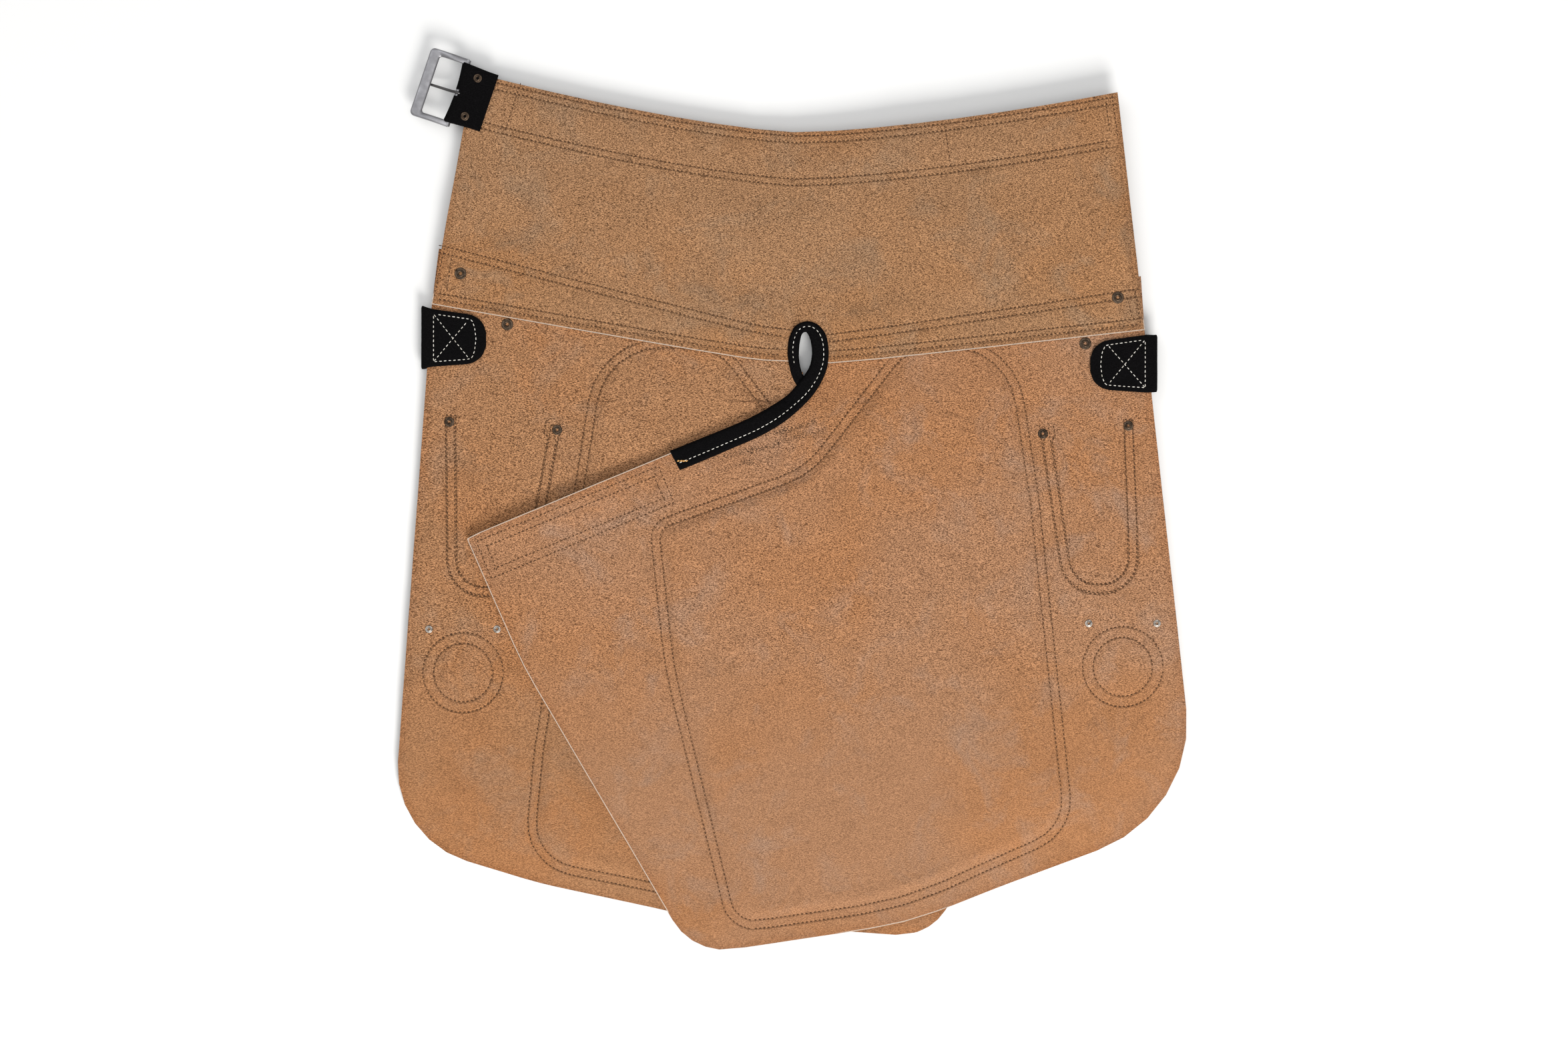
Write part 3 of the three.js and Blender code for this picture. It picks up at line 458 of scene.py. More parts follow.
def grid_faces(rows, columns, offset=0, flip=False):
    """The quads of a grid of points that are numbered row by row."""
    i, j = np.meshgrid(np.arange(rows - 1), np.arange(columns - 1), indexing="ij")
    a = (i * columns + j).ravel() + offset
    quads = np.stack([a, a + 1, a + 1 + columns, a + columns], axis=1)
    return quads[:, ::-1] if flip else quads


def carry(made, name, values):
    """Stores a number at each point of a piece."""
    made.data.attributes.new(name, "FLOAT", "POINT").data.foreach_set(
        "value", np.ravel(values).astype(np.float32))


def ply(name, x, y, top, thickness, materials, marks, gone=None):
    """A cut piece of hide: a grid of points at its top, the same grid a thickness lower, and the
    cut edge round them and round any quads that are gone. Its materials are the top's, the
    underside's and the cut edge's."""
    rows, columns = x.shape
    count = rows * columns
    points = np.vstack([np.stack([x, y, top], axis=-1).reshape(-1, 3),
                        np.stack([x, y, top - thickness], axis=-1).reshape(-1, 3)])
    upper = grid_faces(rows, columns)
    if gone is not None:
        upper = upper[~gone(points[upper].mean(axis=1))]
    middle = points[upper[len(upper) // 2]]
    if np.cross(middle[1] - middle[0], middle[2] - middle[0])[2] < 0:
        upper = upper[:, ::-1]
    lower = upper[:, ::-1] + count
    edges = np.stack([upper, np.roll(upper, -1, axis=1)], axis=-1).reshape(-1, 2)
    codes = edges[:, 0] * count + edges[:, 1]
    bare = edges[~np.isin(codes, edges[:, 1] * count + edges[:, 0])]
    rim = np.stack([bare[:, 1], bare[:, 0], bare[:, 0] + count, bare[:, 1] + count], axis=1)
    made = put(name, points, np.vstack([upper, lower, rim]).tolist(), materials)
    slots = np.concatenate([np.zeros(len(upper)), np.ones(len(lower)), np.full(len(rim), 2)])
    made.data.polygons.foreach_set("material_index", slots.astype(np.int32))
    for mark, values in marks.items():
        carry(made, mark, np.concatenate([np.ravel(values), np.ravel(values)]))
    return cleaned(made)


def cleaned(made, sharp=50):
    """Merges doubled points, drops loose ones and marks the sharp edges."""
    tidy = bmesh.new()
    tidy.from_mesh(made.data)
    bmesh.ops.remove_doubles(tidy, verts=tidy.verts, dist=0.01 * MM)
    bmesh.ops.delete(tidy, geom=[v for v in tidy.verts if not v.link_faces], context="VERTS")
    tidy.to_mesh(made.data)
    tidy.free()
    made.data.set_sharp_from_angle(angle=np.radians(sharp))
    return made


def crossings(loop, levels, axis):
    """The least and greatest place where a closed loop crosses each level of an axis."""
    a, b = loop, np.roll(loop, -1, axis=0)
    low, high = np.minimum(a[:, axis], b[:, axis]), np.maximum(a[:, axis], b[:, axis])
    run = np.where(np.abs(b[:, axis] - a[:, axis]) < 1e-9, 1e-9, b[:, axis] - a[:, axis])
    share = (levels[:, None] - a[:, axis]) / run
    other = a[:, 1 - axis] + np.clip(share, 0, 1) * (b[:, 1 - axis] - a[:, 1 - axis])
    met = (levels[:, None] >= low - 1e-7) & (levels[:, None] <= high + 1e-7)
    return (np.where(met, other, np.inf).min(axis=1), np.where(met, other, -np.inf).max(axis=1))


def grid_over(loops, axis, spacing):
    """A grid over one outline or several that meet: rows across it at each level, from edge to
    edge. Levels are evenly spaced and crowd towards both ends, and one runs through each corner."""
    marks = np.concatenate([loop[:, axis] for loop in loops])
    low, high = marks.min(), marks.max()
    count = int((high - low) / spacing) + 2
    even = np.linspace(0, 1, count)
    crowded = (1 - np.cos(np.pi * even)) / 2
    share = np.unique(np.round(np.concatenate(
        [even, crowded[even < 0.1], crowded[even > 0.9], (marks - low) / (high - low)]), 5))
    keep = np.concatenate([[True], np.diff(share) > 0.15 / count])
    keep[-1] = True
    levels = low + share[keep] * (high - low)
    both = [crossings(loop, levels, axis) for loop in loops]
    least, most = np.min([b[0] for b in both], axis=0), np.max([b[1] for b in both], axis=0)
    met = np.isfinite(least)
    least, most = (np.interp(levels, levels[met], side[met]) for side in (least, most))
    share = np.linspace(0, 1, int((most - least).max() / spacing) + 2)
    across = least[:, None] + share * (most - least)[:, None]
    level = np.repeat(levels[:, None], len(share), axis=1)
    return (across, level) if axis == 1 else (level, across)


def rim_of(x, y):
    """The outline of a grid, as a closed loop from its first and last columns."""
    return np.vstack([np.stack([x[:, 0], y[:, 0]], axis=1),
                      np.stack([x[::-1, -1], y[::-1, -1]], axis=1)])


def stitch_grooves(tree):
    """The dents of the sewn rows: each row mark is a distance in millimetres from a seam's edge,
    with a row of stitches 3 mm and another 9.5 mm in from it."""
    total = 0.0
    for mark in ("row_a", "row_b", "row_c", "row_d"):
        from_edge = attribute(tree, mark)
        for at in (3.0, 9.5):
            off = math(tree, "ABSOLUTE", math(tree, "SUBTRACT", from_edge, at))
            total = math(tree, "ADD", total, ranged(tree, off, 0.15, 1.1, 1.0, 0.0))
    return math(tree, "MINIMUM", total, 1.0)


def sew_grooves_and_painted_shade_into(material, share, tint):
    """Adds the sewn rows' dents to a leather material, with painted shade in them: its colour is darkened
    along the rows.
    """
    tree = material.node_tree
    shader = tree.nodes["Principled BSDF"]
    groove = stitch_grooves(tree)
    bump = shader.inputs["Normal"].links[0].from_node
    height = bump.inputs["Height"].links[0].from_socket
    tree.links.new(math(tree, "ADD", height, math(tree, "MULTIPLY", groove, -share)),
                   bump.inputs["Height"])
    # Painted shade: the base colour is darkened a little along the sewn rows' dents.
    colour = shader.inputs["Base Color"].links[0].from_socket
    tree.links.new(blend_colours(tree, math(tree, "MULTIPLY", groove, 0.11), colour, tint),
                   shader.inputs["Base Color"])


# Each tan hide gets the stitch dents, and painted shade in them as a darker brown tint.
for tan_hide in (suede_yoke, suede_left, suede_right, grain_tan):
    sew_grooves_and_painted_shade_into(tan_hide, 0.8, (0.12, 0.055, 0.025, 1))

HIDE = 2.0 * MM
SLIT = np.array([10.9, 109.6]) * MM
SLIT_HALF = np.array([5.2, 14.6]) * MM

yoke_box = np.array(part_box("yoke"))
YOKE_LEFT_TOP = yoke_box[0][2] + HIDE
YOKE_RIGHT_TOP = yoke_box[1][2]
yoke_loop = plan_of("yoke")
by_slit = (np.abs(yoke_loop[:, 0] - SLIT[0]) < 15 * MM) & (yoke_loop[:, 1] < SLIT[1] + 20 * MM)
yoke_loop = yoke_loop[~by_slit]


def in_slit(centres):
    """The quads that lie in the slit's eye or in the split below it."""
    off = (centres[:, :2] - SLIT) / (SLIT_HALF + 2.0 * MM)
    split = ((np.abs(centres[:, 0] - SLIT[0]) < 2.2 * MM) & (centres[:, 1] < SLIT[1])
             & (centres[:, 1] > SLIT[1] - 32 * MM))
    return (np.hypot(off[:, 0], off[:, 1]) < 1) | split


yoke_x, yoke_y = grid_over([yoke_loop], 0, 3.0 * MM)
waist_line = np.stack([yoke_x[:, -1], yoke_y[:, -1]], axis=1)
waist_line = waist_line[(waist_line[:, 0] > -238.5 * MM)]
lower_line = np.stack([yoke_x[:, 0], yoke_y[:, 0]], axis=1)
lower_line = lower_line[(lower_line[:, 0] < 265.5 * MM)]
BAND_DEPTH = 43 * MM


def up_from_lower(x):
    """How far the overlap's upper stitched row lies above the yoke's lower edge."""
    return np.interp(x / MM, [-259, 27, 255], [45.0, 21.5, 31.0])


def yoke_marks(x, y):
    """Distances in millimetres from the waist edge, the band's lower edge, the yoke's lower edge
    and the overlap's upper row."""
    waist = np.interp(x, waist_line[:, 0], waist_line[:, 1])
    lower = np.interp(x, lower_line[:, 0], lower_line[:, 1])
    down, up = (waist - y) / MM, (y - lower) / MM
    remap = lambda d, first, second: np.interp(d, [-99, 0, first, second, 99], [-99, 0, 3, 9.5, 99])
    return {
        "row_a": remap(down, 3.0, 8.0),
        "row_b": remap(BAND_DEPTH / MM - down, 3.0, 8.0),
        "row_c": remap(up, 4.5, 9.0),
        "row_d": remap(up_from_lower(x) + 3 - up, 3.0, 8.5),
    }


def yoke_top(x, y):
    """The yoke's upper surface: it lies over the left leg, climbs to the right one, is drawn down
    along its stitches and waves a little where the hide is free."""
    level = np.interp(x, [-20 * MM, 90 * MM], [YOKE_LEFT_TOP, YOKE_RIGHT_TOP])
    marks = yoke_marks(x, y)
    band = ease(marks["row_a"], 9.5, 16) * ease(marks["row_b"], 9.5, 16)
    lap = ease(marks["row_c"], 9.5, 14) * ease(marks["row_d"], 9.5, 14)
    free = ease(-marks["row_b"], 0, 30) * ease(-marks["row_d"], 0, 25)
    waves = 1.3 * wander(x, y, 0.15, 3) + 0.5 * wander(x, y, 0.05, 4)
    return level + (0.55 * band + 0.3 * lap + free * waves + 0.12 * wander(x, y, 0.03, 5)) * MM



yoke_marks_here = yoke_marks(yoke_x, yoke_y)
yoke_marks_here["edge"] = depth_in(yoke_loop, yoke_x, yoke_y)
yoke_marks_here["pale"] = (yoke_marks_here["row_c"] < 9).astype(float)
yoke = ply("yoke_hide", yoke_x, yoke_y, yoke_top(yoke_x, yoke_y), HIDE,
           (suede_yoke, grain_tan, pale_cut), yoke_marks_here, in_slit)
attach(yoke, "root")
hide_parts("yoke")


# ---- Legs ----
# Each leg is one piece of hide from under the yoke to its rounded hem. The right one lies over the
# left. Both bend along the line where they leave the overlap, and drop to the table at their hems.
FOLD_Y = 72 * MM

left_box = np.array(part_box("left_leg_panel"))
right_box = np.array(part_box("right_leg_panel"))
LEFT_TOP = left_box[1][2]
LEFT_CORNER_TOP = left_box[0][2] + HIDE
RIGHT_TOP = right_box[1][2]


def tops_level(x):
    """The upper face of the legs' tops, a clearance below the yoke."""
    return np.interp(x, [-20 * MM, 90 * MM], [YOKE_LEFT_TOP, YOKE_RIGHT_TOP]) - HIDE - 0.3 * MM


def patch_outline(side):
    """The whole knee patch's outline, from the two pieces that the frame makes of it."""
    return rim_of(*grid_over([plan_of(f"{side}_knee_patch"), plan_of(f"{side}_knee_patch_top")],
                             1, 2.5 * MM))


def pocket_outline(side):
    """A pocket's outline in plan."""
    return plan_of(f"{side}_knife_pocket", top_only=True)


def without_mouth(loop):
    """A pocket's sides and foot as an open line: the mouth, along its top, is left out."""
    steps = np.roll(loop, -1, axis=0) - loop
    mouth = np.argmax(np.linalg.norm(steps, axis=1)
                      * (loop[:, 1] > loop[:, 1].max() - 12 * MM)
                      * (np.abs(steps[:, 0]) > np.abs(steps[:, 1]) * 3))
    return np.roll(loop, -(mouth + 1), axis=0)


leg_grids = {side: grid_over([plan_of(f"{side}_leg_panel"), plan_of(f"{side}_leg_top")], 1, 3.0 * MM)
             for side in ("left", "right")}
leg_loops = {side: rim_of(*grid) for side, grid in leg_grids.items()}
patch_loops = {side: patch_outline(side) for side in ("left", "right")}
pocket_loops = {side: pocket_outline(side) for side in ("left", "right")}
pocket_lines = {side: without_mouth(loop) for side, loop in pocket_loops.items()}
magnet_at = {side: np.mean(np.array(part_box(f"{side}_magnet")), axis=0)[:2] for side in ("left", "right")}
MAGNET_ROWS = (22 * MM, 30 * MM)


def leg_marks(side, x, y):
    """Distances in millimetres from the knee patch's edge, the pocket's sides and the rings that
    are sewn round the magnet."""
    pocket = away_from(pocket_lines[side], x, y) / MM
    pocket = np.where(inside(pocket_loops[side], x, y), pocket, -pocket)
    ring = np.hypot(x - magnet_at[side][0], y - magnet_at[side][1])
    return {
        "row_a": depth_in(patch_loops[side], x, y),
        "row_b": pocket,
        "row_c": np.interp((MAGNET_ROWS[1] - ring) / MM, [-50, 0, 8, 50], [-47, 3, 9.5, 52]),
    }


def leg_relief(x, y, marks):
    """What is sewn on beneath shows through: a padded knee, a pocket's room and a magnet."""
    knee = ease(marks["row_a"], 9.5, 19.0)
    lip = np.exp(-((marks["row_a"] - 15) / 5) ** 2)
    pocket = ease(marks["row_b"], 9.0, 18.0)
    magnet = ease(marks["row_c"], 10.0, 15.0)
    waves = 0.55 * wander(x, y, 0.19, 11) + 0.3 * wander(x, y, 0.07, 12) + 0.1 * wander(x, y, 0.03, 13)
    return (1.7 * knee + 0.9 * lip + 0.6 * pocket + 0.7 * magnet + waves) * MM


def left_top(x, y):
    """The left leg's upper surface."""
    marks = leg_marks("left", x, y)
    level = np.interp(x, np.array([11, 26, 175]) * MM,
                      [LEFT_TOP, LEFT_TOP - 1.8 * MM, LEFT_CORNER_TOP])
    level += (tops_level(x) - level) * ease(y, FOLD_Y - 12 * MM, FOLD_Y + 12 * MM)
    under_flap = ease(depth_in(leg_loops["right"], x, y), -16, 0)
    relief = leg_relief(x, y, marks) * (1 - under_flap)
    edge = depth_in(leg_loops["left"], x, y)
    hem = (1 - ease(edge, 0, 55)) * ease(-y, 170 * MM, 260 * MM) * ease(-x, -20 * MM, 60 * MM)
    curl = 1.2 * np.exp(-(edge / 7) ** 2) * ease(-y, -40 * MM, 60 * MM) * (1 - under_flap)
    under_yoke = ease(y, FOLD_Y + 4 * MM, FOLD_Y + 34 * MM)
    return level + relief * (1 - 0.85 * under_yoke) - (3.6 * hem + curl) * MM


def right_top(x, y):
    """The right leg's upper surface: its flap stands a little off the left leg."""
    marks = leg_marks("right", x, y)
    level = RIGHT_TOP + (tops_level(x) - RIGHT_TOP) * ease(y, FOLD_Y - 14 * MM, FOLD_Y + 14 * MM)
    edge = depth_in(leg_loops["right"], x, y)
    hem = (1 - ease(edge, 0, 70)) * ease(-y, 185 * MM, 270 * MM) * ease(x, 95 * MM, 170 * MM)
    flap = (1 - ease(edge, 0, 30)) * ease(-x, 40 * MM, 150 * MM) * ease(y, -260 * MM, -120 * MM)
    wave = 1.6 + 1.1 * np.sin((x * 0.92 + y * 0.39) / (34 * MM)) + 0.5 * np.sin(x / (13 * MM))
    flap_wave = flap * wave * ease(-y, -60 * MM, -20 * MM)
    under_yoke = ease(y, FOLD_Y + 4 * MM, FOLD_Y + 34 * MM)
    relief = leg_relief(x, y, marks) * (1 - 0.85 * under_yoke)
    return level + relief + (flap_wave - 7.2 * hem) * MM


leg_tops = {"left": left_top, "right": right_top}


def crotch_edge(side):
    """A leg's inner edge in plan, from the flap's corner up to the slit, which the binding covers."""
    x, y = leg_grids[side]
    column = 0 if side == "right" else -1
    line = np.stack([x[:, column], y[:, column]], axis=1)
    corner = np.argmin(line[:, 0]) if side == "right" else np.argmax(line[:, 0])
    return line[corner:]


def cut_at_fold(made):
    """Two closed pieces of a solid, cut where the legs bend: above and below the fold line."""
    halves = []
    for name, inner in ((f"{made.name}_upper", True), (f"{made.name}_lower", False)):
        half = made.copy()
        half.data = made.data.copy()
        half.name = half.data.name = name
        bpy.context.scene.collection.objects.link(half)
        cutter = bmesh.new()
        cutter.from_mesh(half.data)
        cut = bmesh.ops.bisect_plane(
            cutter, geom=cutter.verts[:] + cutter.edges[:] + cutter.faces[:], dist=1e-7,
            plane_co=(0, FOLD_Y, 0), plane_no=(0, 1, 0), clear_inner=inner, clear_outer=not inner,
        )
        edges = [e for e in cut["geom_cut"] if isinstance(e, bmesh.types.BMEdge)]
        bmesh.ops.holes_fill(cutter, edges=edges, sides=0)
        cutter.to_mesh(half.data)
        cutter.free()
        halves.append(half)
    bpy.data.objects.remove(made)
    return halves


def bend_with_leg(made, side):
    """A piece that runs from under the yoke onto a leg, whose shape bends at the fold line, with its
    placement baked into its points. The right leg lies on the left one and is carried by it, so its pieces
    are cut in two at the fold line."""
    if side == "left":
        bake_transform(made)
        return [made]
    upper, lower = cut_at_fold(made)
    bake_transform(upper)
    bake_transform(lower)
    return [upper, lower]


def leg_hide(side, suede):
    """One leg's hide, with dark scuffs beside the binding on the leg that is on top."""
    x, y = leg_grids[side]
    marks = leg_marks(side, x, y)
    marks["edge"] = depth_in(leg_loops[side], x, y)
    beside = away_from(crotch_edge(side), x, y) / MM
    streaks = np.clip(0.45 + 0.8 * wander(x * 0.45 + y * 0.2, y * 1.2 - x * 0.5, 0.012, 21), 0, 1)
    stretch = ease(-x, -36 * MM, -8 * MM) * ease(x, -80 * MM, -30 * MM)
    near = ease(beside, 12, 18) * (1 - ease(beside, 20, 42))
    marks["scuff"] = near * streaks * stretch * ease(y, 0, 25 * MM) * (side == "right")
    marks["calm"] = ease(-y, 60 * MM, 230 * MM)
    marks["pale"] = inside(leg_loops["left"], x, y) * (side == "right") * 1.0
    return ply(f"{side}_leg_hide", x, y, leg_tops[side](x, y), HIDE, (suede, grain_tan, pale_cut),
               marks, in_slit)


def parts_of(loop, count):
    """A loop as a whole, or as its two parts above and below the line where the legs bend."""
    if count == 1:
        return [loop]
    parts = []
    for turn in (1, -1):
        kept = []
        for a, b in zip(loop, np.roll(loop, -1, axis=0)):
            if turn * (a[1] - FOLD_Y) >= 0:
                kept.append(a)
            if (a[1] - FOLD_Y) * (b[1] - FOLD_Y) < 0:
                kept.append(a + (b - a) * (FOLD_Y - a[1]) / (b[1] - a[1]))
        parts.append(np.array(kept))
    return parts


for side, suede in (("left", suede_left), ("right", suede_right)):
    pieces = bend_with_leg(leg_hide(side, suede), side)
    for piece, part in zip(pieces, parts_of(leg_loops[side], len(pieces))):
        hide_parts(f"{side}_leg_top", f"{side}_leg_panel")


# ---- Thread ----
# Waxed brown thread holds the tan pieces, two rows to a seam. Each stitch is its own short bow of
# thread that comes up out of the hide and goes down again.
STITCH_RINGS = 5
STITCH_SIDES = 6


def thread_material(name, colour, fuzz):
    """Twisted thread, dull, with dust in it: its tone is mottled by fine noise, and its slanting plies are
    not drawn.
    """
    material, tree, shader = new_material(name)
    place = tree.nodes.new("ShaderNodeTexCoord").outputs["Object"]
    tone = noise(tree, place, 260.0, 2.0)
    tree.links.new(blend_colours(tree, ranged(tree, tone, 0.35, 0.68), colour, fuzz),
                   shader.inputs["Base Color"])
    shader.inputs["Roughness"].default_value = 0.75
    shader.inputs["Specular IOR Level"].default_value = 0.25
    return material


brown_thread = thread_material("brown_thread", (0.055, 0.024, 0.01, 1), (0.13, 0.062, 0.025, 1))
gold_thread = thread_material("gold_thread", (0.5, 0.25, 0.07, 1), (0.62, 0.36, 0.13, 1))


def spaced(line, pitch, closed=False):
    """Evenly spaced places along a line, and the way it runs at each."""
    if closed:
        line = np.vstack([line, line[:1]])
    way = np.concatenate([[0], np.cumsum(np.linalg.norm(np.diff(line, axis=0), axis=1))])
    at = np.arange(0.5, max(1, int(way[-1] / pitch))) * pitch
    ahead, behind = at + 0.4 * pitch, at - 0.4 * pitch
    point, to, start = (np.stack([np.interp(a, way, line[:, k]) for k in (0, 1)], axis=1)
                        for a in (at, ahead, behind))
    step = to - start
    return point, step / np.maximum(np.linalg.norm(step, axis=1, keepdims=True), 1e-9)


def tube_quads(rings, sides):
    """The faces between rings of points that lie one after another along a tube."""
    i, j = np.meshgrid(np.arange(rings - 1), np.arange(sides), indexing="ij")
    a, b = (i * sides + j).ravel(), (i * sides + (j + 1) % sides).ravel()
    return np.stack([a, b, b + sides, a + sides], axis=1)


def stitches(name, rows, surface, material, pitch=3.2 * MM, length=2.35 * MM, thick=0.72 * MM,
             up=1, seed=0):
    """All the stitches of some rows as one mesh: every stitch is a tapered tube that arches along
    its row, set on a surface that is given as a height at each place. up is -1 on an underside."""
    places, runs = (np.vstack(part) for part in zip(*(spaced(row, pitch) for row in rows)))
    random = np.random.default_rng(seed)
    count = len(places)
    stretch = length * random.uniform(0.86, 1.08, count)[:, None]
    veer = random.normal(0, 0.05, count)
    runs = np.stack([runs[:, 0] - veer * runs[:, 1], runs[:, 1] + veer * runs[:, 0]], axis=1)
    share = np.linspace(-0.5, 0.5, STITCH_RINGS)
    arch = np.cos(np.pi * share)
    line = places[:, None] + share[None, :, None] * stretch[:, None] * runs[:, None]
    height = surface(line[..., 0], line[..., 1])
    swell = thick / 2 * (0.35 + 0.65 * np.sqrt(np.maximum(arch, 0)))
    lift = (arch - 0.55) * thick * 0.62
    around = np.linspace(0, 2 * np.pi, STITCH_SIDES, endpoint=False)
    side = np.stack([-runs[:, 1], runs[:, 0]], axis=1)
    tube = np.zeros((count, STITCH_RINGS, STITCH_SIDES, 3))
    tube[..., :2] = (line[:, :, None] + side[:, None, None]
                     * (swell[:, None] * np.cos(around))[None, ..., None])
    tube[..., 2] = (height[:, :, None] + up * (lift[:, None] + swell[:, None] * np.sin(around)))
    rings, sides = STITCH_RINGS, STITCH_SIDES
    quads = tube_quads(rings, sides)
    if up > 0:
        quads = quads[:, ::-1]
    ends = np.array([np.arange(sides), np.arange(sides)[::-1] + (rings - 1) * sides])
    if up < 0:
        ends = ends[:, ::-1]
    first = np.arange(count)[:, None, None] * rings * sides
    faces = (first + quads).reshape(-1, 4).tolist() + (first + ends).reshape(-1, sides).tolist()
    return put(name, tube.reshape(-1, 3), faces, [material])


def inset(loop, distance, spacing=3.0 * MM):
    """A closed outline drawn in by a distance, each of its evenly spaced points along its normal."""
    closed, way = measured(loop)
    at = np.linspace(0, way[-1], int(way[-1] / spacing), endpoint=False)
    line = np.stack([np.interp(at, way, closed[:, k]) for k in (0, 1)], axis=1)
    run = np.roll(line, -2, axis=0) - np.roll(line, 2, axis=0)
    normal = np.stack([-run[:, 1], run[:, 0]], axis=1)
    normal /= np.linalg.norm(normal, axis=1, keepdims=True)
    area = (line[:, 0] * np.roll(line[:, 1], -1) - line[:, 1] * np.roll(line[:, 0], -1)).sum()
    moved = line + normal * distance * np.sign(area)
    return np.vstack([moved, moved[:1]])


def beside_line(line, distance, spacing=3.0 * MM):
    """An open line moved sideways by a distance, to its left when that is more than nought."""
    line = along(line, int(np.linalg.norm(np.diff(line, axis=0), axis=1).sum() / spacing))
    run = np.gradient(line, axis=0)
    run /= np.linalg.norm(run, axis=1, keepdims=True)
    return line + np.stack([-run[:, 1], run[:, 0]], axis=1) * distance


def below_waist(distance, low, high):
    """A row at a distance down from the waist edge, between two places across it."""
    x = np.linspace(low, high, 120)
    return np.stack([x, np.interp(x, waist_line[:, 0], waist_line[:, 1]) - distance], axis=1)


def above_lower(distance, low, high):
    """A row at a distance up from the yoke's lower edge, which may change across it."""
    x = np.linspace(low, high, 120)
    up = distance(x) if callable(distance) else distance * np.ones(120)
    row = np.stack([x, np.interp(x, lower_line[:, 0], lower_line[:, 1]) + up * MM], axis=1)
    return row[np.hypot(row[:, 0] - SLIT[0], row[:, 1] - SLIT[1]) > 17 * MM]


def straight(*points):
    """A straight row through points given in millimetres."""
    return np.array(points) * MM


def split_by_slit(row):
    """The two parts of a row that the slit's binding interrupts."""
    return [part for part in (row[row[:, 0] < SLIT[0]], row[row[:, 0] > SLIT[0]]) if len(part) > 2]


waist_rows = [below_waist(d * MM, -236 * MM, 240 * MM) for d in (3.0, 8.0, 35.0, 40.0)]
waist_rows += [straight((-202, 311), (-214.7, 271.6)), straight((115, 278.5), (120, 244.5)),
               straight((240, 301), (244.5, 268)), straight((235.5, 296), (238.4, 272))]
lap_rows = []
for up in (4.5, 9.0, lambda x: up_from_lower(x), lambda x: up_from_lower(x) - 5.5):
    lap_rows += split_by_slit(above_lower(up, -264 * MM, 262 * MM))
lap_rows += [straight((-259, 187.5), (-267.3, 149)), straight((-254, 180), (-257.5, 154)),
             straight((257.5, 155), (261.5, 129)), straight((251.5, 150), (255.5, 133))]
yoke_thread = stitches("yoke_stitches", waist_rows + lap_rows, yoke_top, brown_thread, seed=1)
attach(yoke_thread, "root")


def tab_rows(side):
    """The two rows that hold the strap tab under the flap's corner."""
    loop = plan_of(f"{side}_strap_tab")
    return [inset(loop, 2.2 * MM), inset(loop, 8.2 * MM)]


def leg_rows(side):
    """Every row that shows on a leg's suede side: knee, pocket, magnet rings and strap tab."""
    rows = [inset(patch_loops[side], d * MM) for d in (3.0, 9.5)]
    lines = pocket_lines[side]
    turn = 1 if inside(pocket_loops[side], *(beside_line(lines, 3 * MM)[8])) else -1
    rows += [beside_line(lines, turn * d * MM) for d in (3.0, 9.5)]
    around = np.linspace(0, 2 * np.pi, 73)
    ring = np.stack([np.cos(around), np.sin(around)], axis=1)
    rows += [magnet_at[side] + radius * ring for radius in MAGNET_ROWS]
    for end in (0, -1):
        x, y = (lines[0] if end == 0 else lines[-1]) / MM
        rows += [straight((x + d, y + 4.5), (x + d * 0.9, y - 3.0)) for d in (-3.6, 3.4)]
    return rows + tab_rows(side)


for side in ("left", "right"):
    under_yoke = np.array([[x, np.interp(x, lower_line[:, 0], lower_line[:, 1])] for x in
                           np.linspace(-265, 265, 60) * MM])
    shown = []
    for row in leg_rows(side):
        edge_y = np.interp(row[:, 0], under_yoke[:, 0], under_yoke[:, 1])
        visible = row[:, 1] < edge_y - 0.5 * MM
        breaks = np.flatnonzero(np.diff(visible.astype(int))) + 1
        shown += [part for part, seen in zip(np.split(row, breaks), np.split(visible, breaks))
                  if seen[0] and len(part) > 2]
    thread = stitches(f"{side}_leg_stitches", shown, leg_tops[side], brown_thread, seed=2)
    for piece in bend_with_leg(thread, side):
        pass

# ---- Knee patches ----
# A second layer of the smooth hide, padded, is sewn under each leg from the thigh to the hem, with
# its grain side to the work. It runs up past the fold, so it is bent there with its leg.
PATCH_DROP = HIDE + 0.3 * MM


def beneath(side, drop):
    """The surface a distance below a leg's suede side."""
    return lambda x, y: leg_tops[side](x, y) - drop


def patch(side):
    """One knee patch, which keeps a clearance below its leg's hide."""
    x, y = grid_over([plan_of(f"{side}_knee_patch"), plan_of(f"{side}_knee_patch_top")], 1, 3.5 * MM)
    edge = depth_in(patch_loops[side], x, y)
    return ply(f"{side}_knee", x, y, beneath(side, PATCH_DROP)(x, y), HIDE,
               (suede_left, grain_tan, pale_cut), {"row_a": edge, "edge": edge})


for side in ("left", "right"):
    pieces = bend_with_leg(patch(side), side)
    for piece, part in zip(pieces, parts_of(patch_loops[side], len(pieces))):
        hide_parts(f"{side}_knee_patch", f"{side}_knee_patch_top")
    rows = [inset(patch_loops[side], d * MM) for d in (3.0, 9.5)]
    thread = stitches(f"{side}_knee_stitches", rows, beneath(side, PATCH_DROP + HIDE), gold_thread,
                      up=-1, seed=3)
    for piece in bend_with_leg(thread, side):
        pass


# ---- Strap tabs ----
# A short strip of the hide is sewn under each inner corner to take the strain of the thigh strap.
TAB_THICK = 1.5 * MM

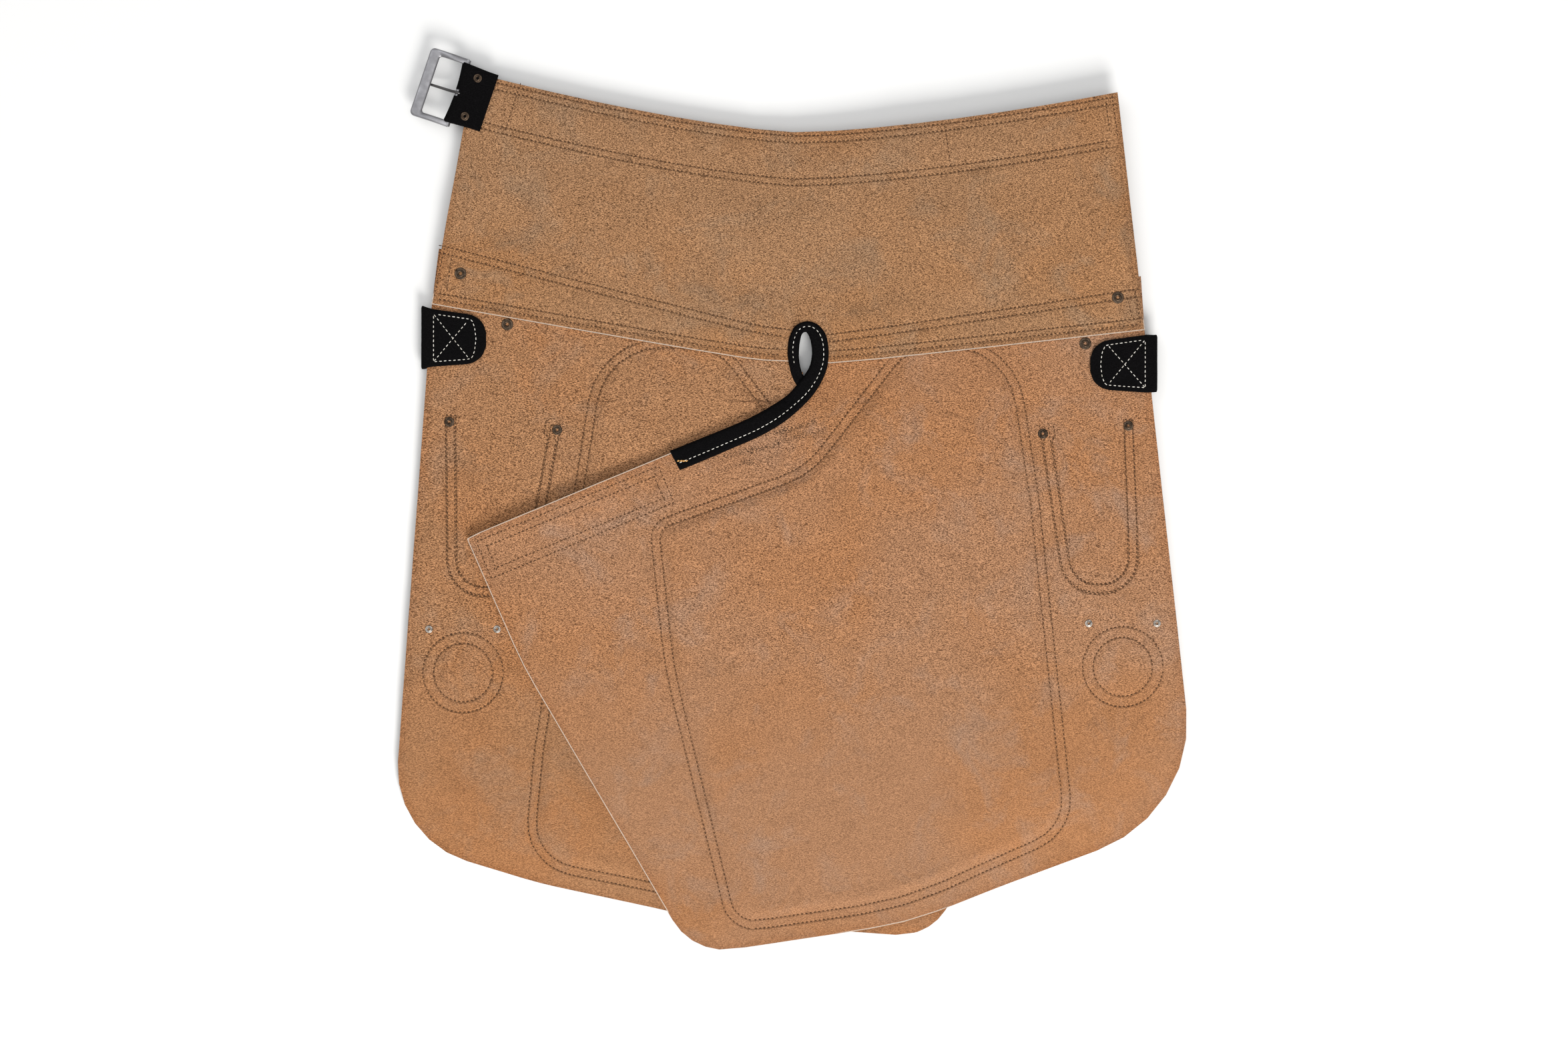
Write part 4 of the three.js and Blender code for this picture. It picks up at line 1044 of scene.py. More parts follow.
for side in ("left", "right"):
    tab_loop = plan_of(f"{side}_strap_tab")
    x, y = grid_over([tab_loop], 1, 4.0 * MM)
    tab = ply(f"{side}_tab", x, y, beneath(side, PATCH_DROP)(x, y), TAB_THICK,
              (suede_left, grain_tan, pale_cut), {"edge": depth_in(tab_loop, x, y)})
    tab_thread = stitches(f"{side}_tab_stitches", tab_rows(side), beneath(side, PATCH_DROP + TAB_THICK),
                          gold_thread, up=-1, seed=4)
    for piece in (tab, tab_thread):
        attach(piece, f"{side}_leg")
    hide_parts(f"{side}_strap_tab")


# ---- Waist band ----
# A strip of the hide stiffens the waist edge on the outer side, held by two rows along each edge.
band_loop = plan_of("waist_band")
band_x, band_y = grid_over([band_loop], 0, 4.0 * MM)
band = ply("band", band_x, band_y, yoke_top(band_x, band_y) - PATCH_DROP, HIDE,
           (suede_yoke, grain_tan, pale_cut), {"edge": depth_in(band_loop, band_x, band_y)})
band_thread = stitches("band_stitches", [inset(band_loop, d * MM) for d in (2.0, 7.0)],
                       lambda x, y: yoke_top(x, y) - PATCH_DROP - HIDE, gold_thread, up=-1, seed=5)
for piece in (band, band_thread):
    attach(piece, "root")
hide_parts("waist_band")


# ---- Knife pockets ----
# Each pocket is one piece of the smooth hide, wet-moulded into a shallow pouch with a flat margin.
# Two rows of stitches hold its sides and foot, and a rivet stops each end of the mouth.
POUCH_THICK = 1.5 * MM

for side in ("left", "right"):
    loop, line = pocket_loops[side], pocket_lines[side]
    pouch_box = np.array(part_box(f"{side}_knife_pocket"))
    pouch_depth = pouch_box[1][2] - pouch_box[0][2] - POUCH_THICK
    x, y = grid_over([loop], 1, 2.5 * MM)
    from_seam = away_from(line, x, y) / MM
    room = ease(from_seam, 10.5, 19) * (0.9 + 0.1 * wander(x, y, 0.05, 31))
    lip = ease(y, pouch_box[1][1] - 12 * MM, pouch_box[1][1])
    top = pouch_box[1][2] - pouch_depth * np.maximum(room, 0.35 * lip * ease(from_seam, 10, 14))
    pouch = ply(f"{side}_pouch", x, y, top, POUCH_THICK, (suede_left, grain_tan, pale_cut),
                {"row_a": from_seam, "edge": depth_in(loop, x, y)})

    def pouch_under(px, py):
        """The far side of the pouch's flat margin."""
        return pouch_box[1][2] - POUCH_THICK + 0 * px

    turn = 1 if inside(loop, *(beside_line(line, 3 * MM)[8])) else -1
    rows = [beside_line(line, turn * d * MM) for d in (3.0, 9.0)]
    pouch_thread = stitches(f"{side}_pouch_stitches", rows, pouch_under, gold_thread, up=-1, seed=6)
    for piece in (pouch, pouch_thread):
        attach(piece, f"{side}_leg")
    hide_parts(f"{side}_knife_pocket")


# ---- Magnet pads ----
# A patch of the smooth hide is moulded over a disc magnet, which holds nails while shoeing. Two
# rings of stitches keep the magnet in place, and two small rivets take the pull.
for side in ("left", "right"):
    pad_loop = plan_of(f"{side}_magnet_pad", top_only=True)
    pad_box = np.array(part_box(f"{side}_magnet_pad"))
    x, y = grid_over([pad_loop], 1, 2.5 * MM)
    out = np.hypot(x - magnet_at[side][0], y - magnet_at[side][1]) / MM
    rise = pad_box[1][2] - pad_box[0][2] - POUCH_THICK
    top = pad_box[1][2] - rise * (1 - ease(out, 20.5, 25))
    pad = ply(f"{side}_pad", x, y, top, POUCH_THICK, (suede_left, grain_tan, pale_cut),
              {"edge": depth_in(pad_loop, x, y), "row_b": depth_in(pad_loop, x, y)})
    around = np.linspace(0, 2 * np.pi, 73)
    ring = np.stack([np.cos(around), np.sin(around)], axis=1)
    rows = [magnet_at[side] + MAGNET_ROWS[1] * ring, inset(pad_loop, 3 * MM)]
    pad_thread = stitches(f"{side}_pad_stitches", rows,
                          lambda px, py: pad_box[1][2] - POUCH_THICK + 0 * px, gold_thread,
                          up=-1, seed=7)
    for piece in (pad, pad_thread):
        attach(piece, f"{side}_leg")
    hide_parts(f"{side}_magnet_pad")


# ---- Slit binding ----
# A strip of black suede is folded over the inner edge of each leg and round the slit between
# them, so that the hide can't tear there. One row of white thread holds it, and outside the
# stitches its edge is rolled.
STRIP_WIDTH = 16.5 * MM
STITCH_IN = 5.3 * MM


def black_suede_material():
    """Black split suede: short dense nap, nearly no shine, a little dust in it."""
    material, tree, shader = new_material("black_suede")
    nap = wire(tree, "ShaderNodeGroup", node_tree=nap_group)
    nap.inputs["Tuft Size"].default_value = 0.8
    tree.links.new(
        blend_colours(tree, ranged(tree, nap.outputs["Tone"], 0.45, 0.75), (0.0022, 0.002, 0.0022, 1),
                      (0.0075, 0.007, 0.0075, 1)),
        shader.inputs["Base Color"],
    )
    bump = wire(tree, "ShaderNodeBump", {"Height": nap.outputs["Height"], "Strength": 0.6,
                                         "Distance": 0.8 * MM})
    tree.links.new(bump.outputs["Normal"], shader.inputs["Normal"])
    shader.inputs["Roughness"].default_value = 0.9
    shader.inputs["Specular IOR Level"].default_value = 0.05
    return material


black_suede = black_suede_material()
white_thread = thread_material("white_thread", (0.62, 0.58, 0.5, 1), (0.85, 0.82, 0.76, 1))


def strip_section(half, tuck):
    """Half-heights of a folded strip at shares of its width from the fold: a round fold, a flat
    run, a dent at the stitches and a rolled edge, with its underside the same but flat."""
    share = np.array([0, 0.012, 0.045, 0.1, 0.18, 0.32, 0.46, 0.58, 0.66, 0.72, 0.79, 0.87, 0.94, 0.985, 1])
    fold = np.sqrt(np.clip(1 - (1 - np.clip(share / 0.17, 0, 1)) ** 2, 0, 1))
    dent = np.exp(-((share - tuck) / 0.045) ** 2)
    bead = np.exp(-((share - (tuck + 1) / 2 - 0.02) / 0.1) ** 2)
    end = np.sqrt(np.clip((1 - share) / 0.1, 0, 1))
    top = half * fold * np.where(share > 0.9, 0.62 + 0.38 * end, 1)
    top = top - 0.5 * MM * dent + 0.45 * MM * bead
    low = -half * fold + 0 * share
    return share, top, low


def faced_outward(made):
    """Turns all the faces of a closed piece outward."""
    turned = bmesh.new()
    turned.from_mesh(made.data)
    bmesh.ops.recalc_face_normals(turned, faces=turned.faces)
    turned.to_mesh(made.data)
    turned.free()


def folded_strip(name, inner, outer, middle, half, tuck=0.68, sink=None):
    """A strip folded over an edge: rows across it from the fold line to the sewn edge, closed by
    the underside and by both ends. middle and half are the height of its core and half its height
    at each row."""
    rows = len(inner)
    points = []
    for i in range(rows):
        share, top, low = strip_section(half[i], tuck if np.isscalar(tuck) else tuck[i])
        across = inner[i] + share[:, None] * (outer[i] - inner[i])
        core = middle(across[:, 0], across[:, 1]) + (0 if sink is None else sink[i])
        upper = np.column_stack([across, core + top])
        under = np.column_stack([across, core + low])
        points.append(np.vstack([upper, under[::-1][:-1]]))
    ring = len(points[0])
    points = np.array(points)
    quads = tube_quads(rows, ring)
    run, over = points[1, 0] - points[0, 0], points[0, 5] - points[0, 0]
    if np.cross(over, run)[2] > 0:
        quads = quads[:, ::-1]
        ends = [list(range(ring)), list(range(ring))[::-1]]
    else:
        ends = [list(range(ring))[::-1], list(range(ring))]
    faces = quads.tolist() + [ends[0], [v + (rows - 1) * ring for v in ends[1]]]
    made = put(name, points.reshape(-1, 3), faces, [black_suede])
    faced_outward(made)
    made.data.set_sharp_from_angle(angle=np.radians(60))
    return made


def strip_middle(side):
    """The height of the core that a leg's strip is folded over."""
    return lambda x, y: leg_tops[side](x, y) - HIDE / 2




def softened(line, times=5):
    """A line with each inner point drawn towards the middle of its neighbours."""
    for _ in range(times):
        line = np.vstack([line[:1], (line[:-2] + 2 * line[1:-1] + line[2:]) / 4, line[-1:]])
    return line


def smooth_through(points):
    """A smooth line through given points: a Catmull-Rom curve of twelve steps between each two."""
    ends = np.vstack([2 * points[0] - points[1], points, 2 * points[-1] - points[-2]])
    share = np.linspace(0, 1, 12, endpoint=False)[:, None]
    pieces = [
        0.5 * (2 * b + (c - a) * share + (2 * a - 5 * b + 4 * c - d) * share ** 2
               + (3 * b - a - 3 * c + d) * share ** 3)
        for a, b, c, d in zip(ends, ends[1:], ends[2:], ends[3:])
    ]
    return np.vstack(pieces + [points[-1:]])


# Pairs of places across the strip, its fold and its sewn edge: along the right leg's inner edge,
# up the right of the slit's eye, over it, down its left and in under the strip's own start.
STRIP_PAIRS = np.array([
    [-90.5, 35.0, -82.8, 20.5], [-72, 42.5, -64.5, 28.0], [-51.5, 50.8, -43.5, 37.0],
    [-31, 59.6, -22, 46.5], [-13.7, 69.3, -5, 56.6], [-2.5, 77, 8.3, 67.8], [4, 84, 17.3, 77.5],
    [10, 91.5, 24, 88.5], [14.3, 99, 27.8, 99.5], [15.9, 108, 28.6, 110.5], [15.0, 117, 26.6, 121.5],
    [12.6, 123, 21, 129], [10.4, 124, 12.5, 132], [8.2, 121.8, 3.5, 128.5], [6.7, 115, -1.2, 119],
    [6.2, 107, -2.3, 108], [6.9, 99.5, -0.8, 97.5], [9.0, 93.0, 2.0, 88.5], [13.0, 87.0, 6.5, 80.5],
]) * MM
inner_line = smooth_through(STRIP_PAIRS[:, :2])
outer_line = smooth_through(STRIP_PAIRS[:, 2:])
run_step = np.gradient(inner_line, axis=0)
run_step /= np.linalg.norm(run_step, axis=1, keepdims=True)
tucked_under = ease(np.arange(len(inner_line)), len(inner_line) - 26, len(inner_line) - 8)
ring_core = (tops_level(SLIT[0]) - HIDE - 1.8 * MM + YOKE_LEFT_TOP + 2.6 * MM) / 2


def binding_middle(x, y):
    """The core's height: the right leg's own below the crotch, and between yoke and legs above."""
    share = ease(y, 70 * MM, 96 * MM)
    return strip_middle("right")(x, y) * (1 - share) + ring_core * share


half_height = np.interp(outer_line[:, 1], [70 * MM, 98 * MM], [2.7 * MM, 4.1 * MM])
strip_widths = np.linalg.norm(outer_line - inner_line, axis=1)
tucks = 1 - np.interp(outer_line[:, 1], [60 * MM, 100 * MM], [STITCH_IN, 4.0 * MM]) / strip_widths
binding = folded_strip("right_binding", inner_line, outer_line, binding_middle, half_height, tucks,
                       -2.4 * MM * tucked_under)
white_row = outer_line + (inner_line - outer_line) * (1 - tucks)[:, None]


def on_strip(middle, half_of):
    """The height of the stitches' dent on a folded strip."""
    return lambda x, y: middle(x, y) + half_of(x, y) - 0.35 * MM


def ring_half(x, y):
    """Half the strip's height: it is thicker round the eye, where it folds over both hides."""
    return np.interp(y, [70 * MM, 98 * MM], [2.7 * MM, 4.1 * MM])


binding_thread = stitches("right_binding_stitches", [white_row[1:-24]],
                          on_strip(binding_middle, ring_half), white_thread, pitch=3.7 * MM,
                          length=2.7 * MM, thick=0.62 * MM, seed=8)
start, back = white_row[0], outer_line[0] - inner_line[0]
bartack = np.array([start - back * 0.12 + run_step[0] * 1 * MM, start + back * 0.1 + run_step[0] * 9 * MM])
tack = stitches("right_binding_bartack", [bartack, bartack + [0.4 * MM, 0.5 * MM]],
                on_strip(binding_middle, ring_half), gold_thread, pitch=2.1 * MM, length=2.3 * MM,
                thick=0.9 * MM, seed=9)
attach(tack, "right_leg")
for made in (binding, binding_thread):
    for piece in bend_with_leg(made, "right"):
        if piece.name.startswith("right_binding_upper"):
            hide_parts("slit_binding_loop")
        if piece.name.startswith("right_binding_lower"):
            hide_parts("right_slit_binding")

left_edge = crotch_edge("left")
left_run = along(left_edge[(left_edge[:, 1] < 71 * MM) & (left_edge[:, 1] > 34 * MM)], 30)
left_step = np.gradient(left_run, axis=0)
left_step /= np.linalg.norm(left_step, axis=1, keepdims=True)
left_outer = left_run + np.stack([-left_step[:, 1], left_step[:, 0]], axis=1) * STRIP_WIDTH
left_tuck = 1 - STITCH_IN / STRIP_WIDTH
left_binding = folded_strip("left_binding", left_run, left_outer, strip_middle("left"),
                            np.full(len(left_run), 2.7 * MM), left_tuck)
left_row = left_outer + (left_run - left_outer) * (1 - left_tuck)
left_thread = stitches("left_binding_stitches", [left_row],
                       on_strip(strip_middle("left"), lambda x, y: 2.7 * MM + 0 * x), white_thread,
                       pitch=3.7 * MM, length=2.7 * MM, thick=0.62 * MM, seed=10)
for piece in (left_binding, left_thread):
    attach(piece, "left_leg")
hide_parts("left_slit_binding")


# ---- Folded straps ----
# The side loops and the buckle's chape are short black straps folded back on themselves round an
# edge or a bar. Each is a band that follows a folded line, with a thickness.


def folded_band(name, line, span, thickness, place, material, gone=None):
    """A strap folded along a line in its side view (distance, height), spanning from span(line)[0]
    to span(line)[1] across, with a thickness inwards. place turns (along, across, height) into the
    apron's frame."""
    line = np.array(line)
    run = np.gradient(line, axis=0)
    run /= np.linalg.norm(run, axis=1, keepdims=True)
    inward = np.stack([run[:, 1], -run[:, 0]], axis=1)
    inward *= -np.sign(inward[0, 1])
    low, high = span(line)
    share = np.concatenate([[0, 0.012, 0.035], np.linspace(0.08, 0.92, 24), [0.965, 0.988, 1]])
    across = low[:, None] + share * (high - low)[:, None]
    from_edge = np.minimum(share, 1 - share) * (high - low)[:, None]
    soft = 0.45 * MM * (1 - ease(from_edge, 0, 1.6 * MM))
    sheets = []
    for depth, softness in ((0, soft), (thickness, -soft * 0.6)):
        shift = depth + softness
        sheets.append(np.stack([line[:, 0, None] + inward[:, 0, None] * shift, across,
                                line[:, 1, None] + inward[:, 1, None] * shift], axis=-1))
    rows, columns = across.shape
    count = rows * columns
    points = place(np.vstack([sheet.reshape(-1, 3) for sheet in sheets]))
    upper = grid_faces(rows, columns)
    if gone is not None:
        keep = ~gone(np.vstack([s.reshape(-1, 3) for s in sheets])[upper].mean(axis=1))
        upper = upper[keep]
    lower = upper[:, ::-1] + count
    edges = np.stack([upper, np.roll(upper, -1, axis=1)], axis=-1).reshape(-1, 2)
    bare = edges[~np.isin(edges[:, 0] * count + edges[:, 1], edges[:, 1] * count + edges[:, 0])]
    rim = np.stack([bare[:, 1], bare[:, 0], bare[:, 0] + count, bare[:, 1] + count], axis=1)
    made = put(name, points, np.vstack([upper, lower, rim]).tolist(), [material])
    cleaned(made)
    faced_outward(made)
    return made


def fold_line(near, far_top, far_low, top, low, bends=12, spacing=2.0 * MM):
    """The side view of a folded strap: along its upper arm to a half-round fold and back below."""
    radius = (top - low) / 2
    sign = np.sign(near - far_top)
    upper = np.arange(0, abs(near - sign * radius - far_top), spacing)
    turn = np.linspace(0, np.pi, bends)
    points = [(far_top + sign * d, top) for d in upper]
    points += [(near - sign * radius + sign * radius * np.sin(t), low + radius + radius * np.cos(t))
               for t in turn]
    lower = np.arange(spacing, abs(near - sign * radius - far_low), spacing)
    points += [(near - sign * radius - sign * d, low) for d in lower]
    return points


def box_and_cross(x_line, x_far, low, high, inset_by):
    """The rows that hold a side loop: round its D shape, straight along the fold, and across."""
    sign = np.sign(x_far - x_line)
    levels = np.linspace(x_line, x_far - sign * inset_by, 40)
    bottom = np.stack([levels, low(levels) + inset_by], axis=1)
    upper = np.stack([levels, high(levels) - inset_by], axis=1)
    tip = 33
    shape = np.vstack([bottom[:tip], [[x_far - sign * inset_by, (low(levels)[tip] + high(levels)[tip]) / 2]],
                       upper[:tip][::-1]])
    return [softened(shape, 2), np.array([bottom[0], upper[0]]), np.array([bottom[0], upper[tip - 4]]),
            np.array([upper[0], bottom[tip - 4]])]


for side, sign in (("left", -1), ("right", 1)):
    loop = plan_of(f"{side}_side_loop", top_only=True)
    loop_box = np.array(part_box(f"{side}_side_loop"))
    far_x = loop[:, 0].max() if sign < 0 else loop[:, 0].min()
    front_x = loop_box[1][0] if sign < 0 else loop_box[0][0]
    fold_x = loop_box[0][0] if sign < 0 else loop_box[1][0]
    y_low, y_high = loop_box[0][1], loop_box[1][1]

    def lower_side(x):
        """The D shape's lower side at places along the strap."""
        return crossings(loop, np.clip(x, loop[:, 0].min() + 1e-5, loop[:, 0].max() - 1e-5), 0)[0]

    def upper_side(x):
        """The D shape's upper side at places along the strap."""
        return crossings(loop, np.clip(x, loop[:, 0].min() + 1e-5, loop[:, 0].max() - 1e-5), 0)[1]

    def d_span(line):
        """Both sides of the folded strap: the arm below is the one above, drawn out to its length."""
        reach = np.abs(front_x - fold_x) / np.abs(far_x - fold_x)
        on_top = np.arange(len(line)) <= np.argmax(np.abs(line[:, 0] - far_x))
        at = np.where(on_top, line[:, 0], fold_x + (line[:, 0] - fold_x) / reach)
        return lower_side(at), upper_side(at)

    line = fold_line(fold_x, far_x + sign * 0.3 * MM, front_x + sign * 0.3 * MM, loop_box[1][2] + 0.3 * MM,
                     loop_box[0][2])

    def puffed(points):
        """The strap's top is a little crowned, and its fold twists and stands off the leg."""
        moved = points.copy()
        out = ease(sign * points[:, 0], abs(fold_x) - 9 * MM, abs(fold_x))
        moved[:, 1] += out * sign * -1.2 * MM * np.sign(points[:, 1] - (y_low + y_high) / 2)
        moved[:, 2] += 0.35 * MM * wander(points[:, 0], points[:, 1], 0.03, 41)
        return moved

    strap = folded_band(f"{side}_loop_strap", line, d_span, 1.5 * MM, puffed, black_suede)
    rows = box_and_cross(fold_x - sign * 9.5 * MM, far_x, lower_side, upper_side, 3.6 * MM)
    strap_thread = stitches(
        f"{side}_loop_stitches", rows,
        lambda x, y: loop_box[1][2] + 0.25 * MM + 0.35 * MM * wander(x, y, 0.03, 41), white_thread,
        pitch=3.5 * MM, length=2.6 * MM, thick=0.62 * MM, seed=11)
    for piece in (strap, strap_thread):
        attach(piece, "root")
    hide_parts(f"{side}_side_loop")


# ---- Chape and buckle ----
# The chape is a black suede strap folded round the buckle's bar and riveted through the yoke's
# corner. The buckle is a flat satin steel frame with one pin that turns on the same bar.
joints = {joint["name"]: joint for joint in frame["record"]["behaviour"]["joints"]}
BAR = np.array(joints["buckle_tilt"]["pos_m"])
ACROSS = -np.array(joints["buckle_tilt"]["axis"])[:2]
OUT = np.array([ACROSS[1], -ACROSS[0]])


def at_bar(points):
    """From (out from the bar, across along it, height above it) to the apron's frame."""
    points = np.asarray(points)
    plan = BAR[:2] + points[..., 0, None] * OUT + points[..., 1, None] * ACROSS
    return np.concatenate([plan, BAR[2] + points[..., 2, None]], axis=-1)


CHAPE_WIDE = 44.5 * MM
CHAPE_TOP = 2.85 * MM


def chape_line():
    """Along the back arm, round the bar and along the longer front arm."""
    round_bar = np.radians(np.linspace(80, -80, 13))
    points = [(-d * MM, CHAPE_TOP) for d in np.linspace(25, 4.5, 11)]
    points += [(3.8 * MM * np.cos(a), 3.8 * MM * np.sin(a)) for a in round_bar]
    return points + [(-d * MM, -CHAPE_TOP) for d in np.linspace(4.5, 42, 18)]


def chape_span(line):
    """The strap's two sides: bowed out at the fold, and narrower under the yoke's corner."""
    bow = 1.0 * MM * ease(line[:, 0], -20 * MM, 2 * MM)
    below = np.where(line[:, 1] < 0, 2.5 * MM * ease(-line[:, 0], 0, 15 * MM), 0)
    return -CHAPE_WIDE / 2 - bow + below, CHAPE_WIDE / 2 + bow - below


def prong_slot(centres):
    """The quads that the slot for the pin takes out of the fold."""
    return (np.abs(centres[:, 1]) < 2.1 * MM) & (centres[:, 0] > -0.6 * MM)


def at_bar_hollowed(points):
    """The fold stands out further at its ends than in its middle."""
    moved = points.copy()
    middle = 1 - (points[:, 1] / (CHAPE_WIDE / 2)) ** 2
    moved[:, 0] -= 1.6 * MM * middle * ease(points[:, 0], -6 * MM, 2 * MM)
    return at_bar(moved)


chape = folded_band("chape_strap", chape_line(), chape_span, 1.5 * MM, at_bar_hollowed, black_suede,
                    prong_slot)
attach(chape, "root")
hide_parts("chape")


def steel_material(name, colour, rough, streak):
    """Satin steel: fine brushing, faint dents and a dull film where hands touch it."""
    material, tree, shader = new_material(name)
    place = tree.nodes.new("ShaderNodeTexCoord").outputs["Object"]
    turned = wire(tree, "ShaderNodeMapping", {"Vector": place, "Rotation": (0, 0, streak),
                                              "Scale": (160.0, 2400.0, 900.0)}).outputs["Vector"]
    brushing = noise(tree, turned, 1.0, 2.0)
    film = noise(tree, place, 140.0, 3.0)
    tree.links.new(
        blend_colours(tree, ranged(tree, film, 0.4, 0.7, 0.0, 0.6), colour,
                      tuple(c * 0.6 for c in colour[:3]) + (1,)),
        shader.inputs["Base Color"],
    )
    tree.links.new(
        math(tree, "ADD", ranged(tree, film, 0.3, 0.7, rough - 0.08, rough + 0.1),
             ranged(tree, brushing, 0.3, 0.7, -0.05, 0.05)),
        shader.inputs["Roughness"],
    )
    bump = wire(tree, "ShaderNodeBump", {
        "Height": math(tree, "ADD", math(tree, "MULTIPLY", brushing, 0.25), film),
        "Strength": 0.25, "Distance": 0.25 * MM,
    })
    tree.links.new(bump.outputs["Normal"], shader.inputs["Normal"])
    shader.inputs["Metallic"].default_value = 1.0
    return material


satin_steel = steel_material("satin_steel", (0.34, 0.335, 0.35, 1), 0.42, np.radians(71))
FRAME_REACH = 29.5 * MM
FRAME_HALF = 26.6 * MM
LIP = 8.2 * MM
ARM = 4.6 * MM
ARM_BOW = 1.4 * MM


def frame_edges():
    """The buckle frame's outer and inner edges, as places that answer each other, from one end of
    the bar round to the other, and how far the bowed arms rise at each."""
    turn = np.linspace(0, np.pi / 2, 9)[1:-1]
    edges = []
    for reach, side, corner in ((FRAME_REACH, FRAME_HALF, 3.6 * MM),
                                (FRAME_REACH - LIP, FRAME_HALF - ARM, 2.0 * MM)):
        arm = np.stack([np.linspace(-0.5 * MM, reach - corner, 12), np.full(12, side)], axis=1)
        bend = np.stack([reach - corner + corner * np.sin(turn), side - corner + corner * np.cos(turn)],
                        axis=1)
        front = np.stack([np.full(14, reach), np.linspace(side - corner, -(side - corner), 14)], axis=1)
        half = np.vstack([arm, bend])
        edges.append(np.vstack([half, front, half[::-1] * [1, -1]]))
    rise = np.concatenate([ARM_BOW * np.sin(np.pi * np.linspace(0, 1, 12)), np.zeros(7)])
    return edges[0], edges[1], np.concatenate([rise, np.zeros(14), rise[::-1]])


def bar_of_metal(name, outer, inner, height, lift, material, squareness=3.2, sides=20):
    """Metal between two edge lines in the buckle's plane: its section is a rounded rectangle, whose
    corners get sharper with the squareness, closed at both ends."""
    around = np.linspace(0, 2 * np.pi, sides, endpoint=False)
    cosine, sine = np.cos(around), np.sin(around)
    x = np.sign(cosine) * np.abs(cosine) ** (2 / squareness)
    z = np.sign(sine) * np.abs(sine) ** (2 / squareness)
    points = np.zeros((len(outer), sides, 3))
    points[..., :2] = ((outer + inner) / 2)[:, None] + ((outer - inner) / 2)[:, None] * x[None, :, None]
    points[..., 2] = lift[:, None] + height / 2 * z
    faces = tube_quads(len(outer), sides).tolist()
    faces += [list(range(sides))[::-1], [v + (len(outer) - 1) * sides for v in range(sides)]]
    made = put(name, at_bar(points.reshape(-1, 3)), faces, [material])
    faced_outward(made)
    made.data.set_sharp_from_angle(angle=np.radians(55))
    return made


outer_edge, inner_edge, rise = frame_edges()
frame_metal = bar_of_metal("buckle_rim", outer_edge, inner_edge, 3.4 * MM, rise, satin_steel)
bar_line = np.linspace(-FRAME_HALF + 0.6 * MM, FRAME_HALF - 0.6 * MM, 12)
bar_sides = [np.stack([np.full(12, u), bar_line], axis=1) for u in (2.0 * MM, -2.0 * MM)]
bar_metal = bar_of_metal("buckle_bar", *bar_sides, 4.0 * MM, np.zeros(12), satin_steel,
                         squareness=2.0, sides=16)
for piece in (frame_metal, bar_metal):
    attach(piece, "buckle")
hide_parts("buckle_frame")

dark_steel = steel_material("pin_steel", (0.11, 0.105, 0.105, 1), 0.4, 0.0)
eye_turn = np.radians(np.linspace(300, 20, 14))
pin_side = [(3.1 * MM * np.cos(a), 3.1 * MM * np.sin(a)) for a in eye_turn]
pin_side += [(5.5 * MM, -0.4 * MM), (9 * MM, -1.2 * MM), (14 * MM, -2.0 * MM), (19 * MM, -2.8 * MM),
             (23 * MM, -3.2 * MM), (26 * MM, -3.1 * MM), (27.6 * MM, -3.0 * MM)]
pin_side = np.array(pin_side)
pin_run = np.gradient(pin_side, axis=0)
pin_run /= np.linalg.norm(pin_run, axis=1, keepdims=True)
pin_radius = np.interp(np.arange(len(pin_side)), [0, 13, 18, 20], [0.95, 1.1, 0.95, 0.35]) * MM
PIN_SIDES = 12
turn = np.linspace(0, 2 * np.pi, PIN_SIDES, endpoint=False)
pin = np.zeros((len(pin_side), PIN_SIDES, 3))
pin[..., 0] = pin_side[:, None, 0] - pin_run[:, None, 1] * pin_radius[:, None] * np.sin(turn)
pin[..., 1] = pin_radius[:, None] * np.cos(turn)
pin[..., 2] = pin_side[:, None, 1] + pin_run[:, None, 0] * pin_radius[:, None] * np.sin(turn)
faces = tube_quads(len(pin_side), PIN_SIDES).tolist()
faces += [list(range(PIN_SIDES))[::-1], [v + (len(pin_side) - 1) * PIN_SIDES for v in range(PIN_SIDES)]]
pin_made = put("buckle_pin", at_bar(pin.reshape(-1, 3)), faces, [dark_steel])
faced_outward(pin_made)
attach(pin_made, "prong")
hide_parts("buckle_prong")


# ---- Rivets ----
# Tubular rivets of antiqued brass: a flat flange, and in its middle the rolled end of the hollow
# shank round a shallow hole painted nearly black as painted shade for its depth. The far side has a plain
# domed cap.


def rivet_material(name, colour, dark):
    """Antiqued metal: rubbed bright on its high places, nearly black in its hollows: patina in the grooves,
    and painted shade in the shank's hole.
    """
    material, tree, shader = new_material(name)
    place = tree.nodes.new("ShaderNodeTexCoord").outputs["Object"]
    wear = noise(tree, place, 420.0, 3.0)
    shade = math(tree, "MAXIMUM", ranged(tree, wear, 0.42, 0.66, 0.0, 0.8), attribute(tree, "hollow"))
    tree.links.new(blend_colours(tree, shade, colour, dark), shader.inputs["Base Color"])
    tree.links.new(ranged(tree, wear, 0.3, 0.7, 0.34, 0.55), shader.inputs["Roughness"])
    bump = wire(tree, "ShaderNodeBump", {"Height": wear, "Strength": 0.3, "Distance": 0.2 * MM})
    tree.links.new(bump.outputs["Normal"], shader.inputs["Normal"])
    shader.inputs["Metallic"].default_value = 1.0
    return material


antique = rivet_material("antique_rivet", (0.115, 0.08, 0.055, 1), (0.012, 0.009, 0.007, 1))
nickel = rivet_material("nickel_rivet", (0.5, 0.45, 0.4, 1), (0.09, 0.07, 0.055, 1))
